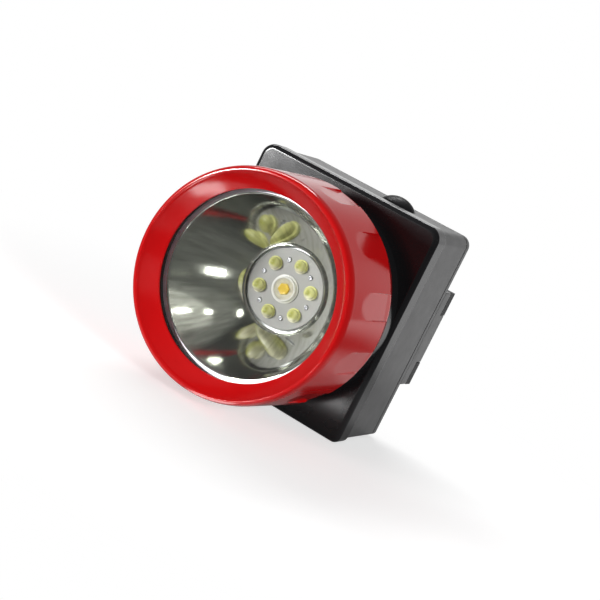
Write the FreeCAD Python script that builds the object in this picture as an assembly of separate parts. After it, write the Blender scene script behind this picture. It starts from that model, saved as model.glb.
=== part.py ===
"""Cordless miner's cap lamp, as separate solids.

Frame: +Z up, the lamp shines towards -Y, +X is its left hand side as worn.
The origin is under the middle of the lamp, on the plane that it stands on.
Lengths are in millimetres. A reach is a distance in front of the case's
front face, towards -Y, and a depth is a distance behind that face.
"""
import FreeCAD
import Part
import math
import os

Vector = FreeCAD.Vector

# Case
case_width = 68.0
case_height = 76.0
cover_depth = 8.2
body_depth = 25.6
back_depth = 3.8
case_wall = 2.2
front_wall = 2.4
body_step = 0.8
top_corner = 4.5
bottom_corner = 2.4
least_corner = 0.6
front_fillet = 1.6
back_fillet = 1.2

# Joints between the parts of the case
rebate_depth = 2.0
rebate_wall = 1.1
tongue_gap = 0.15
seal_thickness = 0.8

# Screws and screw posts
screw_inset = 5.0
post_radius = 3.2
cover_post_radius = 2.6
screw_radius = 1.45
screw_length = 30.0
screw_head_radius = 2.75
screw_head_height = 2.0
screw_head_bevel = 0.6
hole_gap = 0.2
pilot_gap = 0.05
pilot_spare = 0.5
head_gap = 0.3
counterbore_depth = 2.6
recess_arm = 1.5
recess_width = 0.6
recess_depth = 1.0

# Lamp barrel, moulded on the front cover
barrel_radius = 31.7
barrel_wall = 2.0
barrel_reach = 37.5
thread_height = 0.4
thread_length = 8.0
collar_wall = 1.5
collar_reach = 9.4
wire_hole_radius = 1.5

# Bezel ring: its walls are measured outwards from its bore
thread_gap = 0.3
bezel_rear_gap = 1.6
bezel_front_wall = 3.6
bezel_grip_wall = 3.9
bezel_rear_wall = 2.6
bezel_ridge_wall = 1.8
bezel_flare_length = 5.0
bezel_edge_round = 4.2
bezel_cone_depth = 5.9
bezel_lip = 0.4
bezel_lip_cover = 2.1
scoop_count = 12
scoop_phase = 18.0
scoop_depth = 1.0
scoop_radius = 14.0
scoop_length = 18.3
scoop_run_out = 2.6

# Lens, gasket and reflector
lens_rim_gap = 0.6
lens_thickness = 2.0
lens_chamfer = 0.3
lens_play = 0.06
gasket_width = 1.4
gasket_thickness = 0.8
gasket_gap = 0.02
flange_thickness = 1.5
flange_width = 3.3
bowl_throat_radius = 14.3
bowl_wall = 1.2
bowl_foot_rise = 0.6
throat_rim = 0.7
throat_lip = 2.2

# Light board and heat sink
board_radius = 13.0
board_thickness = 1.6
board_front_reach = 12.8
board_hole_radius = 1.0
board_hole_place = 9.4
board_hole_angle = 108.6
led_circle = 8.9
led_phase = 18.6
led_count = 6
aux_flange_radius = 2.5
aux_flange = 0.6
aux_radius = 2.1
aux_height = 1.7
aux_dome_rise = 1.3
main_led_radius = 4.6
main_led_step = 0.7
main_led_height = 1.4
main_led_ledge = 0.5
dome_radius = 3.4
dome_rise = 2.4
sink_plate_radius = 16.0
sink_plate = 2.0
sink_core_radius = 11.5
sink_fin_radius = 14.5
sink_fin = 1.1
sink_fin_count = 2
sink_base_radius = 18.0
sink_base = 2.0
sink_hole_gap = 0.3
sink_screw_place = 15.0
sink_screw_radius = 0.95
sink_screw_head_radius = 1.9
sink_screw_head = 1.4
sink_screw_spare = 0.3

# Push button and its switch
button_x = 9.7
button_radius = 5.7
button_proud = 2.9
button_rim = 0.5
button_travel = 0.8
button_well_depth = 1.2
button_well_gap = 0.3
button_sunk = 0.2
stem_radius = 2.0
stem_gap = 0.05
button_boss_radius = 7.4
button_boss_depth = 2.2
button_seal_gap = 0.05
groove_radius = 3.4
groove_depth = 1.2
clip_radius = 3.2
clip_thickness = 0.5
clip_groove = 0.5
clip_gap = 0.05
clip_mouth = 1.6
clip_drop = 0.2
stem_tail = 0.2
plunger_radius = 1.7
plunger_shown = 0.95
plunger_sunk = 0.9
plunger_gap = 0.08
switch_side = 6.2
switch_height = 3.4
switch_board_width = 20.0
switch_board_depth = 12.0
switch_board_thickness = 1.2
peg_radius = 1.6
peg_tip_radius = 0.9
peg_tip_shown = 0.6
peg_gap = 0.1

# Charging socket and its cover, on the side away from the button
socket_drop = 15.0
socket_radius = 4.0
socket_gap = 0.1
socket_bore = 2.8
socket_bore_depth = 7.0
socket_pin_radius = 1.05
socket_pin_drop = 0.6
socket_body_side = 9.6
socket_body_depth = 8.0
socket_sunk = 0.3
flap_width = 11.4
flap_height = 13.4
flap_thickness = 1.5
flap_gap = 0.3
flap_recess = 1.0
flap_pad = 1.2
flap_pad_margin = 1.0
flap_corner = 2.5
plug_outer = 2.4
plug_inner = 1.6
plug_length = 1.1

# Control board and cell
control_width = 44.0
control_height = 36.0
control_thickness = 1.6
control_depth = 12.0
control_foot = 14.0
control_screw_inset = 3.0
control_post_radius = 2.5
control_screw_radius = 0.95
control_screw_head_radius = 1.9
control_screw_head = 1.3
control_screw_bite = 5.0
chip_width = 7.0
chip_height = 5.0
chip_thickness = 1.2
coil_radius = 3.0
coil_height = 1.6
cell_width = 42.0
cell_height = 50.0
cell_thickness = 12.0
cell_corner = 4.0
cell_foot = 5.0
cell_x = 1.5
cell_gap = 0.4
cell_rib = 1.6
cell_rib_height = 8.0
cell_shelf_width = 28.0
pad_height = 9.0
pad_thickness = 2.6
pad_inset = 0.5
wire_radius = 0.45
wire_gap = 0.1
lead_arch = 4.5
lead_beside = 3.0
lead_spread = 5.0
lead_margin = 1.5

# Strap channel on the back cover, and the frame that closes it
strap_height = 35.0
strap_half_width = 33.2
platform_depth = 5.0
platform_root = 1.5
channel_height = 31.0
channel_half_width = 28.8
channel_floor = 0.4
frame_depth = 4.0
slot_width = 4.6
cheek_height = 18.0
cheek_thickness = 2.6
cheek_gap = 0.1
hook_reach = 0.8
hook_depth = 0.7
forehead_radius = 140.0
strap_corner = 1.2

# How far joined shapes run into each other, how far a cutter passes a face, and a length of nothing
merge = 0.5
past = 1.0
tiny = 1e-6

# Radii worked out from the barrel outwards and inwards
thread_radius = barrel_radius + thread_height
collar_radius = barrel_radius + collar_wall
bezel_bore = thread_radius + thread_gap
bezel_front_radius = bezel_bore + bezel_front_wall
bezel_grip_radius = bezel_bore + bezel_grip_wall
bezel_rear_radius = bezel_bore + bezel_rear_wall
bezel_ridge_radius = bezel_bore + bezel_ridge_wall
lens_radius = bezel_bore - thread_gap - lens_rim_gap - thread_gap
lens_bore = lens_radius + thread_gap
bezel_inner_radius = lens_radius - bezel_lip_cover
bowl_mouth_radius = lens_radius - flange_width

# Places worked out from the sizes above
flange_front_reach = barrel_reach + flange_thickness
lens_rear_reach = flange_front_reach + gasket_thickness + 2 * gasket_gap
lens_front_reach = lens_rear_reach + lens_thickness
lip_front_reach = lens_front_reach + lens_play + bezel_lip
bezel_rear_reach = collar_reach + bezel_rear_gap
bezel_front_reach = lip_front_reach + bezel_cone_depth
board_rear_reach = board_front_reach - board_thickness
bowl_foot_reach = board_front_reach + bowl_foot_rise
case_depth = cover_depth + body_depth + back_depth
back_reach = case_depth + platform_depth + frame_depth
face_y = (bezel_front_reach - back_reach) / 2
axis_z = case_height / 2
body_y = face_y + cover_depth
back_y = body_y + body_depth
case_back_y = back_y + back_depth
button_y = body_y + body_depth / 2
side_x = case_width / 2 - body_step
wall_top_z = case_height - body_step
floor_top_z = body_step + case_wall
socket_z = case_height - socket_drop


def save(shape, name):
    """Write one named piece, after checking that it is sound."""
    if not shape.isValid():
        raise ValueError(name + " is not a valid solid")
    solids = len(shape.Solids)
    print(f"{name}: {solids} solid(s), {shape.Volume:.1f} mm3")
    shape.exportStep("parts/" + name + ".step")


def box(x, y, z):
    """A box from three (low, high) pairs."""
    corner = Vector(x[0], y[0], z[0])
    return Part.makeBox(x[1] - x[0], y[1] - y[0], z[1] - z[0], corner)


def span(middle, length):
    """Low and high end of a length about its middle."""
    return (middle - length / 2, middle + length / 2)


def rod(radius, start, end):
    """A round bar from one point to another."""
    run = end - start
    return Part.makeCylinder(radius, run.Length, start, run)


def rod_x(radius, x, y, z):
    """A round bar along X, from the pair of ends in x."""
    return rod(radius, Vector(x[0], y, z), Vector(x[1], y, z))


def rod_y(radius, x, z, y):
    """A round bar along Y, from the pair of ends in y."""
    return rod(radius, Vector(x, y[0], z), Vector(x, y[1], z))


def rod_z(radius, x, y, z):
    """A round bar along Z, from the pair of ends in z."""
    return rod(radius, Vector(x, y, z[0]), Vector(x, y, z[1]))


def outline(start, steps):
    """A closed face: each step is an end point, or a middle and an end of an arc."""
    edges = []
    here = start
    for step in steps + [start]:
        if isinstance(step, tuple):
            middle, there = step
            edges.append(Part.Arc(here, middle, there).toShape())
        else:
            there = step
            if (there - here).Length > tiny:
                edges.append(Part.LineSegment(here, there).toShape())
        here = there
    return Part.Face(Part.Wire(edges))


def lamp_point(radius, reach):
    """A point beside the lamp's axis, at a reach in front of the case."""
    return Vector(radius, face_y - reach, axis_z)


def turned(start, steps):
    """Turn a profile of (radius, reach) pairs about the lamp's axis."""
    plain = []
    for step in steps:
        if isinstance(step[0], tuple):
            plain.append((lamp_point(*step[0]), lamp_point(*step[1])))
        else:
            plain.append(lamp_point(*step))
    profile = outline(lamp_point(*start), plain)
    return profile.revolve(Vector(0, 0, axis_z), Vector(0, 1, 0), 360)


def lamp_ring(outer, inner, reach):
    """A plain ring about the lamp's axis between two reaches."""
    y = (face_y - reach[1], face_y - reach[0])
    solid = rod_y(outer, 0, axis_z, y)
    if inner > 0:
        solid = solid.cut(rod_y(inner, 0, axis_z, y))
    return solid


def on_board(radius, angle):
    """X and Z of a place on the light board, from its radius and angle."""
    turn = math.radians(angle)
    return radius * math.cos(turn), axis_z + radius * math.sin(turn)


def slab(y, inset):
    """A slab of the case's outline, drawn in by an inset all round."""
    half = case_width / 2 - inset
    top = max(top_corner - inset, least_corner)
    foot = max(bottom_corner - inset, least_corner)
    solid = box((-half, half), y, (inset, case_height - inset))
    upper = [e for e in solid.Edges if is_y_edge(e) and e.CenterOfMass.z > axis_z]
    solid = solid.makeFillet(top, upper)
    lower = [e for e in solid.Edges if is_y_edge(e) and abs(e.CenterOfMass.z - inset) < tiny]
    return solid.makeFillet(foot, lower)


def is_y_edge(edge):
    """Whether an edge runs straight along Y."""
    run = edge.Vertexes[-1].Point - edge.Vertexes[0].Point
    return run.Length > tiny and abs(abs(run.y) - run.Length) < tiny


def body_slab(y, inset=0.0):
    """A slab of the case body's outline, a step inside the cover's."""
    return slab(y, body_step + inset)


def body_ring(y, outer_inset, inner_inset):
    """A ring that follows the case body's outline."""
    return body_slab(y, outer_inset).cut(body_slab(y, inner_inset))


def post_places():
    """X and Z of the four case screws."""
    x = side_x - screw_inset
    return [(side * x, z) for side in (-1, 1) for z in (body_step + screw_inset, wall_top_z - screw_inset)]


def control_places():
    """X and Z of the four control board screws."""
    x = control_width / 2 - control_screw_inset
    low = control_foot + control_screw_inset
    high = control_foot + control_height - control_screw_inset
    return [(side * x, z) for side in (-1, 1) for z in (low, high)]


def sink_places():
    """X and Z of the heat sink's screws."""
    return [(side * sink_screw_place, axis_z) for side in (-1, 1)]


def face_edges_at(solid, y):
    """The edges of a solid that lie wholly in one plane of constant y."""
    return [e for e in solid.Edges if all(abs(v.Point.y - y) < tiny for v in e.Vertexes)
            and abs(e.CenterOfMass.y - y) < tiny]


def make_front_cover():
    """Glossy cover with its skirt, inner posts and the lamp barrel."""
    shell = slab((face_y, body_y), 0.0)
    shell = shell.makeFillet(front_fillet, face_edges_at(shell, face_y))
    shell = shell.cut(body_slab((face_y + front_wall, body_y), case_wall))
    tongue_end = body_y + rebate_depth - seal_thickness
    solid = shell.fuse(body_ring((body_y - past, tongue_end), rebate_wall + tongue_gap, case_wall))
    post_root = face_y + merge
    for x, z in post_places():
        solid = solid.fuse(rod_y(cover_post_radius, x, z, (post_root, body_y + rebate_depth)))
    for x, z in control_places():
        solid = solid.fuse(rod_y(control_post_radius, x, z, (post_root, face_y + control_depth)))
    solid = solid.fuse(barrel())
    for x, z in post_places():
        tip = case_back_y - counterbore_depth - screw_length - pilot_spare
        solid = solid.cut(rod_y(screw_radius + pilot_gap, x, z, (tip, body_y + rebate_depth + past)))
    for x, z in control_places():
        bite = face_y + control_depth - control_screw_bite - pilot_spare
        pilot = rod_y(control_screw_radius + pilot_gap, x, z, (bite, face_y + control_depth + past))
        solid = solid.cut(pilot)
    through = (face_y - past, face_y + front_wall + past)
    for x, z in sink_places():
        solid = solid.cut(rod_y(sink_screw_radius + hole_gap, x, z, through))
    x, z = on_board(board_hole_place, board_hole_angle)
    return solid.cut(rod_y(wire_hole_radius, x, z, through)).removeSplitter()


def barrel():
    """The tube that holds the reflector and carries the bezel's thread."""
    thread_start = barrel_reach - thread_length
    bore = barrel_radius - barrel_wall
    root = -front_wall / 2
    return turned(
        (bore, root),
        [
            (collar_radius, root),
            (collar_radius, collar_reach),
            (barrel_radius, collar_reach),
            (barrel_radius, thread_start),
            (thread_radius, thread_start + thread_height),
            (thread_radius, barrel_reach - thread_height),
            (barrel_radius, barrel_reach),
            (bore, barrel_reach),
        ],
    )


def make_case_body():
    """Walls of the box, with screw posts, button well, switch pegs, socket pad and cell ribs."""
    solid = body_ring((body_y, back_y), 0.0, case_wall)
    for x, z in post_places():
        solid = solid.fuse(rod_y(post_radius, x, z, (body_y + rebate_depth, back_y - rebate_depth)))
    solid = solid.cut(body_slab((body_y - past, body_y + rebate_depth), rebate_wall))
    solid = solid.cut(body_slab((back_y - rebate_depth, back_y + past), rebate_wall))
    for x, z in post_places():
        solid = solid.cut(rod_y(screw_radius + hole_gap, x, z, (body_y, back_y)))
    solid = add_button_well(solid)
    solid = add_switch_pegs(solid)
    solid = add_socket_pad(solid)
    return add_cell_ribs(solid).removeSplitter()


def add_button_well(solid):
    """The boss that guides the button's stem, its well, and the groove for its seal."""
    well_floor = wall_top_z - button_well_depth
    boss = rod_z(button_boss_radius, button_x, button_y, (boss_foot_z(), well_floor + merge))
    well = rod_z(button_radius + button_well_gap, button_x, button_y, (well_floor, wall_top_z + past))
    groove = rod_z(groove_radius, button_x, button_y, (well_floor - groove_depth, wall_top_z))
    bore = rod_z(stem_radius + stem_gap, button_x, button_y, (boss_foot_z() - past, wall_top_z))
    return solid.fuse(boss).cut(well).cut(groove).cut(bore)


def add_cell_ribs(solid):
    """Two ribs on the floor beside the cell, and the shelf that it stands on."""
    root = floor_top_z - merge
    for side in (-1, 1):
        x = cell_x + side * (cell_width / 2 + cell_gap + cell_rib / 2)
        solid = solid.fuse(box(span(x, cell_rib), cell_span(), (root, cell_foot + cell_rib_height)))
    return solid.fuse(box(span(cell_x, cell_shelf_width), cell_span(), (root, cell_foot)))


def boss_foot_z():
    """Underside of the boss under the button."""
    return wall_top_z - case_wall - button_boss_depth


def clip_top_z():
    """Upper face of the clip, a little under the boss."""
    return boss_foot_z() - clip_drop


def stem_foot_z():
    """Lower end of the button's stem."""
    return clip_top_z() - clip_thickness - stem_tail


def switch_board_top():
    """Height of the switch board's upper face, from the stem's end downwards."""
    return stem_foot_z() - plunger_shown - switch_height


def peg_places():
    """X and Y of the two pegs that hold the switch board."""
    reach = switch_board_width / 2 - peg_radius
    return [(button_x + side * reach, button_y) for side in (-1, 1)]


def add_switch_pegs(solid):
    """Pegs under the top wall, with thin tips through the switch board."""
    top = switch_board_top()
    tip = top - switch_board_thickness - peg_tip_shown
    for x, y in peg_places():
        solid = solid.fuse(rod_z(peg_radius, x, y, (top, wall_top_z - case_wall + merge)))
        solid = solid.fuse(rod_z(peg_tip_radius, x, y, (tip, top)))
    return solid


def socket_recess_floor():
    """X of the floor of the recess that the rubber flap lies in."""
    return -side_x + flap_recess


def socket_pad_inner():
    """X of the inner face of the thick pad round the socket."""
    return -side_x + case_wall + flap_pad


def add_socket_pad(solid):
    """A thick pad in the side wall, with the flap's recess and the socket's hole."""
    width = flap_width + 2 * flap_gap
    height = flap_height + 2 * flap_gap
    inner = socket_pad_inner()
    pad_y = span(button_y, width + 2 * flap_pad_margin)
    pad_z = span(socket_z, height + 2 * flap_pad_margin)
    pad = box((-side_x + merge, inner), pad_y, pad_z)
    recess = box((-side_x - past, socket_recess_floor()), span(button_y, width), span(socket_z, height))
    recess = round_lower_x_edges(recess, flap_corner)
    hole = rod_x(socket_radius + socket_gap, (-side_x - past, inner + past), button_y, socket_z)
    return solid.fuse(pad).cut(recess).cut(hole)


def round_lower_x_edges(solid, radius):
    """Round the lower two edges of a block that run along X."""
    edges = []
    low = solid.BoundBox.ZMin
    for edge in solid.Edges:
        run = edge.Vertexes[-1].Point - edge.Vertexes[0].Point
        if abs(abs(run.x) - run.Length) < tiny and abs(edge.CenterOfMass.z - low) < tiny:
            edges.append(edge)
    return solid.makeFillet(radius, edges)


def cell_span():
    """Front and back of the cell."""
    back = back_y - pad_thickness
    return (back - cell_thickness, back)


def make_back_cover():
    """Rear plate with its tongue, screw seats, strap channel and cheeks."""
    plate = body_slab((back_y, case_back_y))
    plate = plate.makeFillet(back_fillet, face_edges_at(plate, case_back_y))
    tongue_start = back_y - rebate_depth + seal_thickness
    solid = plate.fuse(body_ring((tongue_start, back_y + past), rebate_wall + tongue_gap, case_wall))
    foot = back_y - rebate_depth
    for x, z in post_places():
        solid = solid.fuse(rod_y(cover_post_radius, x, z, (foot, back_y + past)))
    solid = solid.fuse(strap_platform())
    seat = case_back_y - counterbore_depth
    for x, z in post_places():
        solid = solid.cut(rod_y(screw_radius + hole_gap, x, z, (foot - past, case_back_y + past)))
        solid = solid.cut(rod_y(screw_head_radius + head_gap, x, z, (seat, case_back_y + past)))
    return solid.removeSplitter()


def side_span(side, outer, inner):
    """Low and high x of something between two distances from the middle, on one side."""
    return tuple(sorted((side * outer, side * inner)))


def strap_platform():
    """Raised block across the back, with a channel for the strap and two hooked cheeks."""
    top = case_back_y + platform_depth
    block = box((-strap_half_width, strap_half_width), (case_back_y - platform_root, top),
                span(axis_z, strap_height))
    block = round_y_edges(block, strap_corner)
    block = block.cut(box((-channel_half_width, channel_half_width), (case_back_y + channel_floor, top + past),
                          span(axis_z, channel_height)))
    for side in (-1, 1):
        x = side_span(side, strap_half_width, strap_half_width - cheek_thickness)
        block = block.fuse(box(x, (top - past, top + frame_depth), span(axis_z, cheek_height)))
        block = block.fuse(cheek_hook(side))
    return block


def round_y_edges(block, radius):
    """Round the four outer edges of a block that run along Y."""
    return block.makeFillet(radius, [e for e in block.Edges if is_y_edge(e)])


def cheek_hook(side):
    """The snap hook that reaches over the strap frame from a cheek."""
    x = side * (strap_half_width - cheek_thickness)
    rear = case_back_y + platform_depth + frame_depth
    start = Vector(x, rear - hook_depth, axis_z - cheek_height / 2)
    tip = Vector(x - side * hook_reach, rear - hook_depth, start.z)
    back = Vector(x, rear, start.z)
    return outline(start, [tip, back]).extrude(Vector(0, 0, cheek_height))


def make_strap_frame():
    """Plate that closes the strap channel, with a slot for the strap at each side."""
    front = case_back_y + platform_depth
    rear = front + frame_depth
    solid = box((-strap_half_width, strap_half_width), (front, rear), span(axis_z, strap_height))
    solid = round_y_edges(solid, strap_corner)
    reach = channel_half_width - slot_width
    hollow_depth = forehead_radius - math.sqrt(forehead_radius**2 - reach**2)
    hollow_y = rear + forehead_radius - hollow_depth
    solid = solid.cut(rod_z(forehead_radius, 0, hollow_y, span(axis_z, 2 * strap_height)))
    through = (front - past, rear + past)
    beside_cheek = span(axis_z, cheek_height + 2 * cheek_gap)
    cheek_inner = strap_half_width - cheek_thickness - cheek_gap
    for side in (-1, 1):
        x = side_span(side, strap_half_width + past, cheek_inner)
        solid = solid.cut(box(x, through, beside_cheek))
        x = side_span(side, strap_half_width + past, cheek_inner - hook_reach)
        solid = solid.cut(box(x, (rear - hook_depth - cheek_gap, rear + past), beside_cheek))
        x = side_span(side, channel_half_width, channel_half_width - slot_width)
        solid = solid.cut(box(x, through, span(axis_z, channel_height)))
    return solid


def make_case_screws():
    """Four pan head screws, in from the back."""
    solids = []
    seat = case_back_y - counterbore_depth
    top = seat + screw_head_height
    for x, z in post_places():
        shank = rod_y(screw_radius, x, z, (seat - screw_length, seat + merge))
        head = rod_y(screw_head_radius, x, z, (seat, top))
        head = head.makeChamfer(screw_head_bevel, face_edges_at(head, top))
        solids.append(head.fuse(shank).cut(cross_recess(x, z, top)).removeSplitter())
    return Part.makeCompound(solids)


def cross_recess(x, z, y):
    """A cross for a screwdriver, sunk in a screw's head."""
    depth = (y - recess_depth, y + past)
    across = box(span(x, 2 * recess_arm), depth, span(z, recess_width))
    return across.fuse(box(span(x, recess_width), depth, span(z, 2 * recess_arm)))


def make_small_screws(places, seat, radius, head_radius, head_height, bite):
    """Small screws along Y, with their heads behind the seat."""
    solids = []
    for x, z in places:
        shank = rod_y(radius, x, z, (seat - bite, seat))
        head = rod_y(head_radius, x, z, (seat, seat + head_height))
        solids.append(head.fuse(shank).removeSplitter())
    return Part.makeCompound(solids)


def make_bezel_ring():
    """Red ring: conical front, rounded edge, tapered side with scoops, and a flare in at the rear."""
    rear = bezel_rear_reach
    front = bezel_front_reach
    edge_drop = bezel_front_radius - bezel_ridge_radius
    edge_mid = (bezel_ridge_radius + edge_drop * 0.79, front - bezel_edge_round * 0.26)
    cone_width = bezel_ridge_radius - bezel_inner_radius
    cone_mid = (bezel_inner_radius + cone_width * 0.5, front - bezel_cone_depth * 0.42)
    seat = barrel_reach + thread_gap
    solid = turned(
        (bezel_bore, rear),
        [
            (bezel_rear_radius, rear),
            (bezel_grip_radius, rear + bezel_flare_length),
            (bezel_grip_radius, rear + scoop_length),
            (bezel_front_radius, front - bezel_edge_round),
            (edge_mid, (bezel_ridge_radius, front)),
            (cone_mid, (bezel_inner_radius, lip_front_reach)),
            (bezel_inner_radius, lip_front_reach - bezel_lip),
            (lens_bore, lip_front_reach - bezel_lip),
            (lens_bore, seat + (bezel_bore - lens_bore)),
            (bezel_bore, seat),
        ],
    )
    for k in range(scoop_count):
        solid = solid.cut(scoop(scoop_phase + k * 360.0 / scoop_count))
    return solid


def scoop(angle):
    """A round-bottomed finger scoop, open to the rear, whose front end slopes out."""
    z = axis_z + bezel_grip_radius - scoop_depth + scoop_radius
    rear_y = face_y - bezel_rear_reach + past
    slope_y = face_y - bezel_rear_reach - scoop_length + scoop_run_out
    overrun = 1.5
    end = Vector(0, slope_y, z)
    tip = Part.makeCone(scoop_radius, scoop_radius - overrun * scoop_depth, overrun * scoop_run_out,
                        end, Vector(0, -1, 0))
    solid = rod_y(scoop_radius, 0, z, (slope_y, rear_y)).fuse(tip)
    solid.rotate(Vector(0, 0, axis_z), Vector(0, 1, 0), 90.0 - angle)
    return solid


def make_lens():
    """Clear disc under the bezel's lip, with a small chamfer round its front."""
    rear = lens_rear_reach
    front = lens_front_reach
    rim = (lens_radius, front - lens_chamfer)
    return turned((0, rear), [(lens_radius, rear), rim, (lens_radius - lens_chamfer, front), (0, front)])


def make_lens_gasket():
    """Flat rubber ring between the reflector's flange and the lens."""
    start = flange_front_reach + gasket_gap
    outer = lens_radius - lens_chamfer
    return lamp_ring(outer, outer - gasket_width, (start, start + gasket_thickness))


def bowl_radius(reach):
    """Radius of the mirror bowl, a parabola, at a reach."""
    depth = flange_front_reach - bowl_foot_reach
    rate = (bowl_mouth_radius**2 - bowl_throat_radius**2) / depth
    return math.sqrt(bowl_throat_radius**2 + rate * (reach - bowl_foot_reach))


def bowl_curve(reaches, offset):
    """The bowl's profile through points at the given reaches, offset outwards."""
    curve = Part.BSplineCurve()
    curve.interpolate([lamp_point(bowl_radius(reach) + offset, reach) for reach in reaches])
    return curve.toShape()


def make_reflector():
    """Mirror bowl with its flange, and a rounded rim and a short lip round the light board."""
    mouth = flange_front_reach
    flange_rear = mouth - flange_thickness
    throat = bowl_foot_reach
    count = 8
    inner = [throat + (mouth - throat) * k / count for k in range(count + 1)]
    outer = [throat + (flange_rear - throat) * k / count for k in range(count + 1)]
    lip_bore = bowl_throat_radius - throat_rim
    lip_foot = throat - throat_lip
    front_run = [
        lamp_point(bowl_radius(mouth), mouth),
        lamp_point(lens_radius, mouth),
        lamp_point(lens_radius, flange_rear),
        lamp_point(bowl_radius(flange_rear) + bowl_wall, flange_rear),
    ]
    foot_run = [
        lamp_point(bowl_throat_radius + bowl_wall, throat),
        lamp_point(bowl_throat_radius + bowl_wall, lip_foot),
        lamp_point(lip_bore, lip_foot),
        lamp_point(lip_bore, throat),
    ]
    rim_top = lamp_point(lip_bore + throat_rim / 2, throat + throat_rim / 2)
    edges = [bowl_curve(inner, 0.0), bowl_curve(outer, bowl_wall)]
    edges.append(Part.Arc(foot_run[-1], rim_top, lamp_point(bowl_throat_radius, throat)).toShape())
    for run in (front_run, foot_run):
        edges += [Part.LineSegment(first, second).toShape() for first, second in zip(run, run[1:])]
    profile = Part.Face(Part.Wire(Part.__sortEdges__(edges)))
    return profile.revolve(Vector(0, 0, axis_z), Vector(0, 1, 0), 360)


def make_led_board():
    """Round light board with one wire hole."""
    solid = lamp_ring(board_radius, 0, (board_rear_reach, board_front_reach))
    x, z = on_board(board_hole_place, board_hole_angle)
    through = (face_y - board_front_reach - past, face_y - board_rear_reach + past)
    return solid.cut(rod_y(board_hole_radius, x, z, through))


def make_main_led():
    """Round body of the main light, stepped."""
    foot = board_front_reach
    top = foot + main_led_height
    ledge = dome_radius + main_led_ledge
    return turned((0, foot), [(main_led_radius, foot), (main_led_radius, foot + main_led_step), (ledge, top), (0, top)])


def make_main_led_dome():
    """Clear dome over the main light's chip."""
    foot = board_front_reach + main_led_height
    aside, up = cap_middle(dome_radius, dome_rise)
    return turned((0, foot), [(dome_radius, foot), ((aside, foot + up), (0, foot + dome_rise))])


def cap_middle(radius, rise):
    """The middle of a domed cap's edge-to-top arc, aside from the axis and up from the foot."""
    ball = (radius**2 + rise**2) / (2 * rise)
    half_turn = math.asin(radius / ball) / 2
    if rise > radius:
        half_turn = (math.pi - math.asin(radius / ball)) / 2
    return ball * math.sin(half_turn), ball * math.cos(half_turn) - (ball - rise)


def make_aux_leds():
    """Six small round lights with domed tops and a flange at the foot."""
    aside, up = cap_middle(aux_radius, aux_dome_rise)
    solids = []
    for k in range(led_count):
        x, z = on_board(led_circle, led_phase + k * 360.0 / led_count)
        foot = face_y - board_front_reach
        shoulder = foot - aux_height

        def at(radius, y):
            return Vector(x + radius, y, z)

        steps = [at(aux_flange_radius, foot), at(aux_flange_radius, foot - aux_flange)]
        steps += [at(aux_radius, foot - aux_flange), at(aux_radius, shoulder)]
        steps += [(at(aside, shoulder - up), at(0, shoulder - aux_dome_rise))]
        solids.append(outline(at(0, foot), steps).revolve(at(0, 0), Vector(0, 1, 0), 360))
    return Part.makeCompound(solids)


def make_heat_sink():
    """Turned aluminium spool: base flange, core with fins, and the plate under the light board."""
    top = board_rear_reach
    plate_foot = top - sink_plate
    pitch = (plate_foot - sink_base) / (sink_fin_count + 1)
    steps = [(sink_base_radius, 0), (sink_base_radius, sink_base), (sink_core_radius, sink_base)]
    for k in range(sink_fin_count):
        foot = sink_base + pitch * (k + 1) - sink_fin / 2
        steps += [(sink_core_radius, foot), (sink_fin_radius, foot)]
        steps += [(sink_fin_radius, foot + sink_fin), (sink_core_radius, foot + sink_fin)]
    steps += [(sink_core_radius, plate_foot), (sink_plate_radius, plate_foot), (sink_plate_radius, top), (0, top)]
    solid = turned((0, 0), steps)
    for x, z in sink_places():
        pilot = rod_y(sink_screw_radius + pilot_gap, x, z, (face_y - sink_base - past, face_y + past))
        solid = solid.cut(pilot)
    x, z = on_board(board_hole_place, board_hole_angle)
    return solid.cut(rod_y(board_hole_radius + sink_hole_gap, x, z, (face_y - top - past, face_y + past)))


def make_barrel_seal():
    """Eight-sided rubber ring round the barrel, between the collar and the bezel."""
    side = min(bezel_rear_gap, collar_wall) - 2 * wire_gap
    bevel = side / 4
    low = barrel_radius + wire_gap
    rear = collar_reach + wire_gap
    return turned(
        (low + bevel, rear),
        [
            (low + side - bevel, rear),
            (low + side, rear + bevel),
            (low + side, rear + side - bevel),
            (low + side - bevel, rear + side),
            (low + bevel, rear + side),
            (low, rear + side - bevel),
            (low, rear + bevel),
        ],
    )


def make_case_seal(y, start):
    """Rubber cord that follows the case's outline in a rebate."""
    return body_ring((y + start, y + start + seal_thickness), rebate_wall + tongue_gap, case_wall)


def make_push_button():
    """Low dome with a rim, on a stem with a groove for its clip."""
    low = wall_top_z - button_sunk
    rim = wall_top_z + button_rim
    clip_top = clip_top_z()
    clip_foot = clip_top - clip_thickness
    groove = stem_radius - clip_groove
    aside, up = cap_middle(button_radius, button_proud - button_rim)

    def at(radius, z):
        return Vector(button_x + radius, button_y, z)

    steps = [at(button_radius, low), at(button_radius, rim)]
    steps += [(at(aside, rim + up), at(0, wall_top_z + button_proud))]
    steps += [at(0, stem_foot_z()), at(stem_radius, stem_foot_z()), at(stem_radius, clip_foot)]
    steps += [at(groove, clip_foot), at(groove, clip_top), at(stem_radius, clip_top)]
    profile = outline(at(stem_radius, low), steps)
    return profile.revolve(Vector(button_x, button_y, 0), Vector(0, 0, 1), 360)


def make_button_clip():
    """Open spring clip in the stem's groove, under the boss."""
    z = (clip_top_z() - clip_thickness, clip_top_z())
    inner = stem_radius - clip_groove + clip_gap
    ring = rod_z(clip_radius, button_x, button_y, z).cut(rod_z(inner, button_x, button_y, z))
    return ring.cut(box(span(button_x, clip_mouth), (button_y, button_y + clip_radius + past), z))


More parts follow.
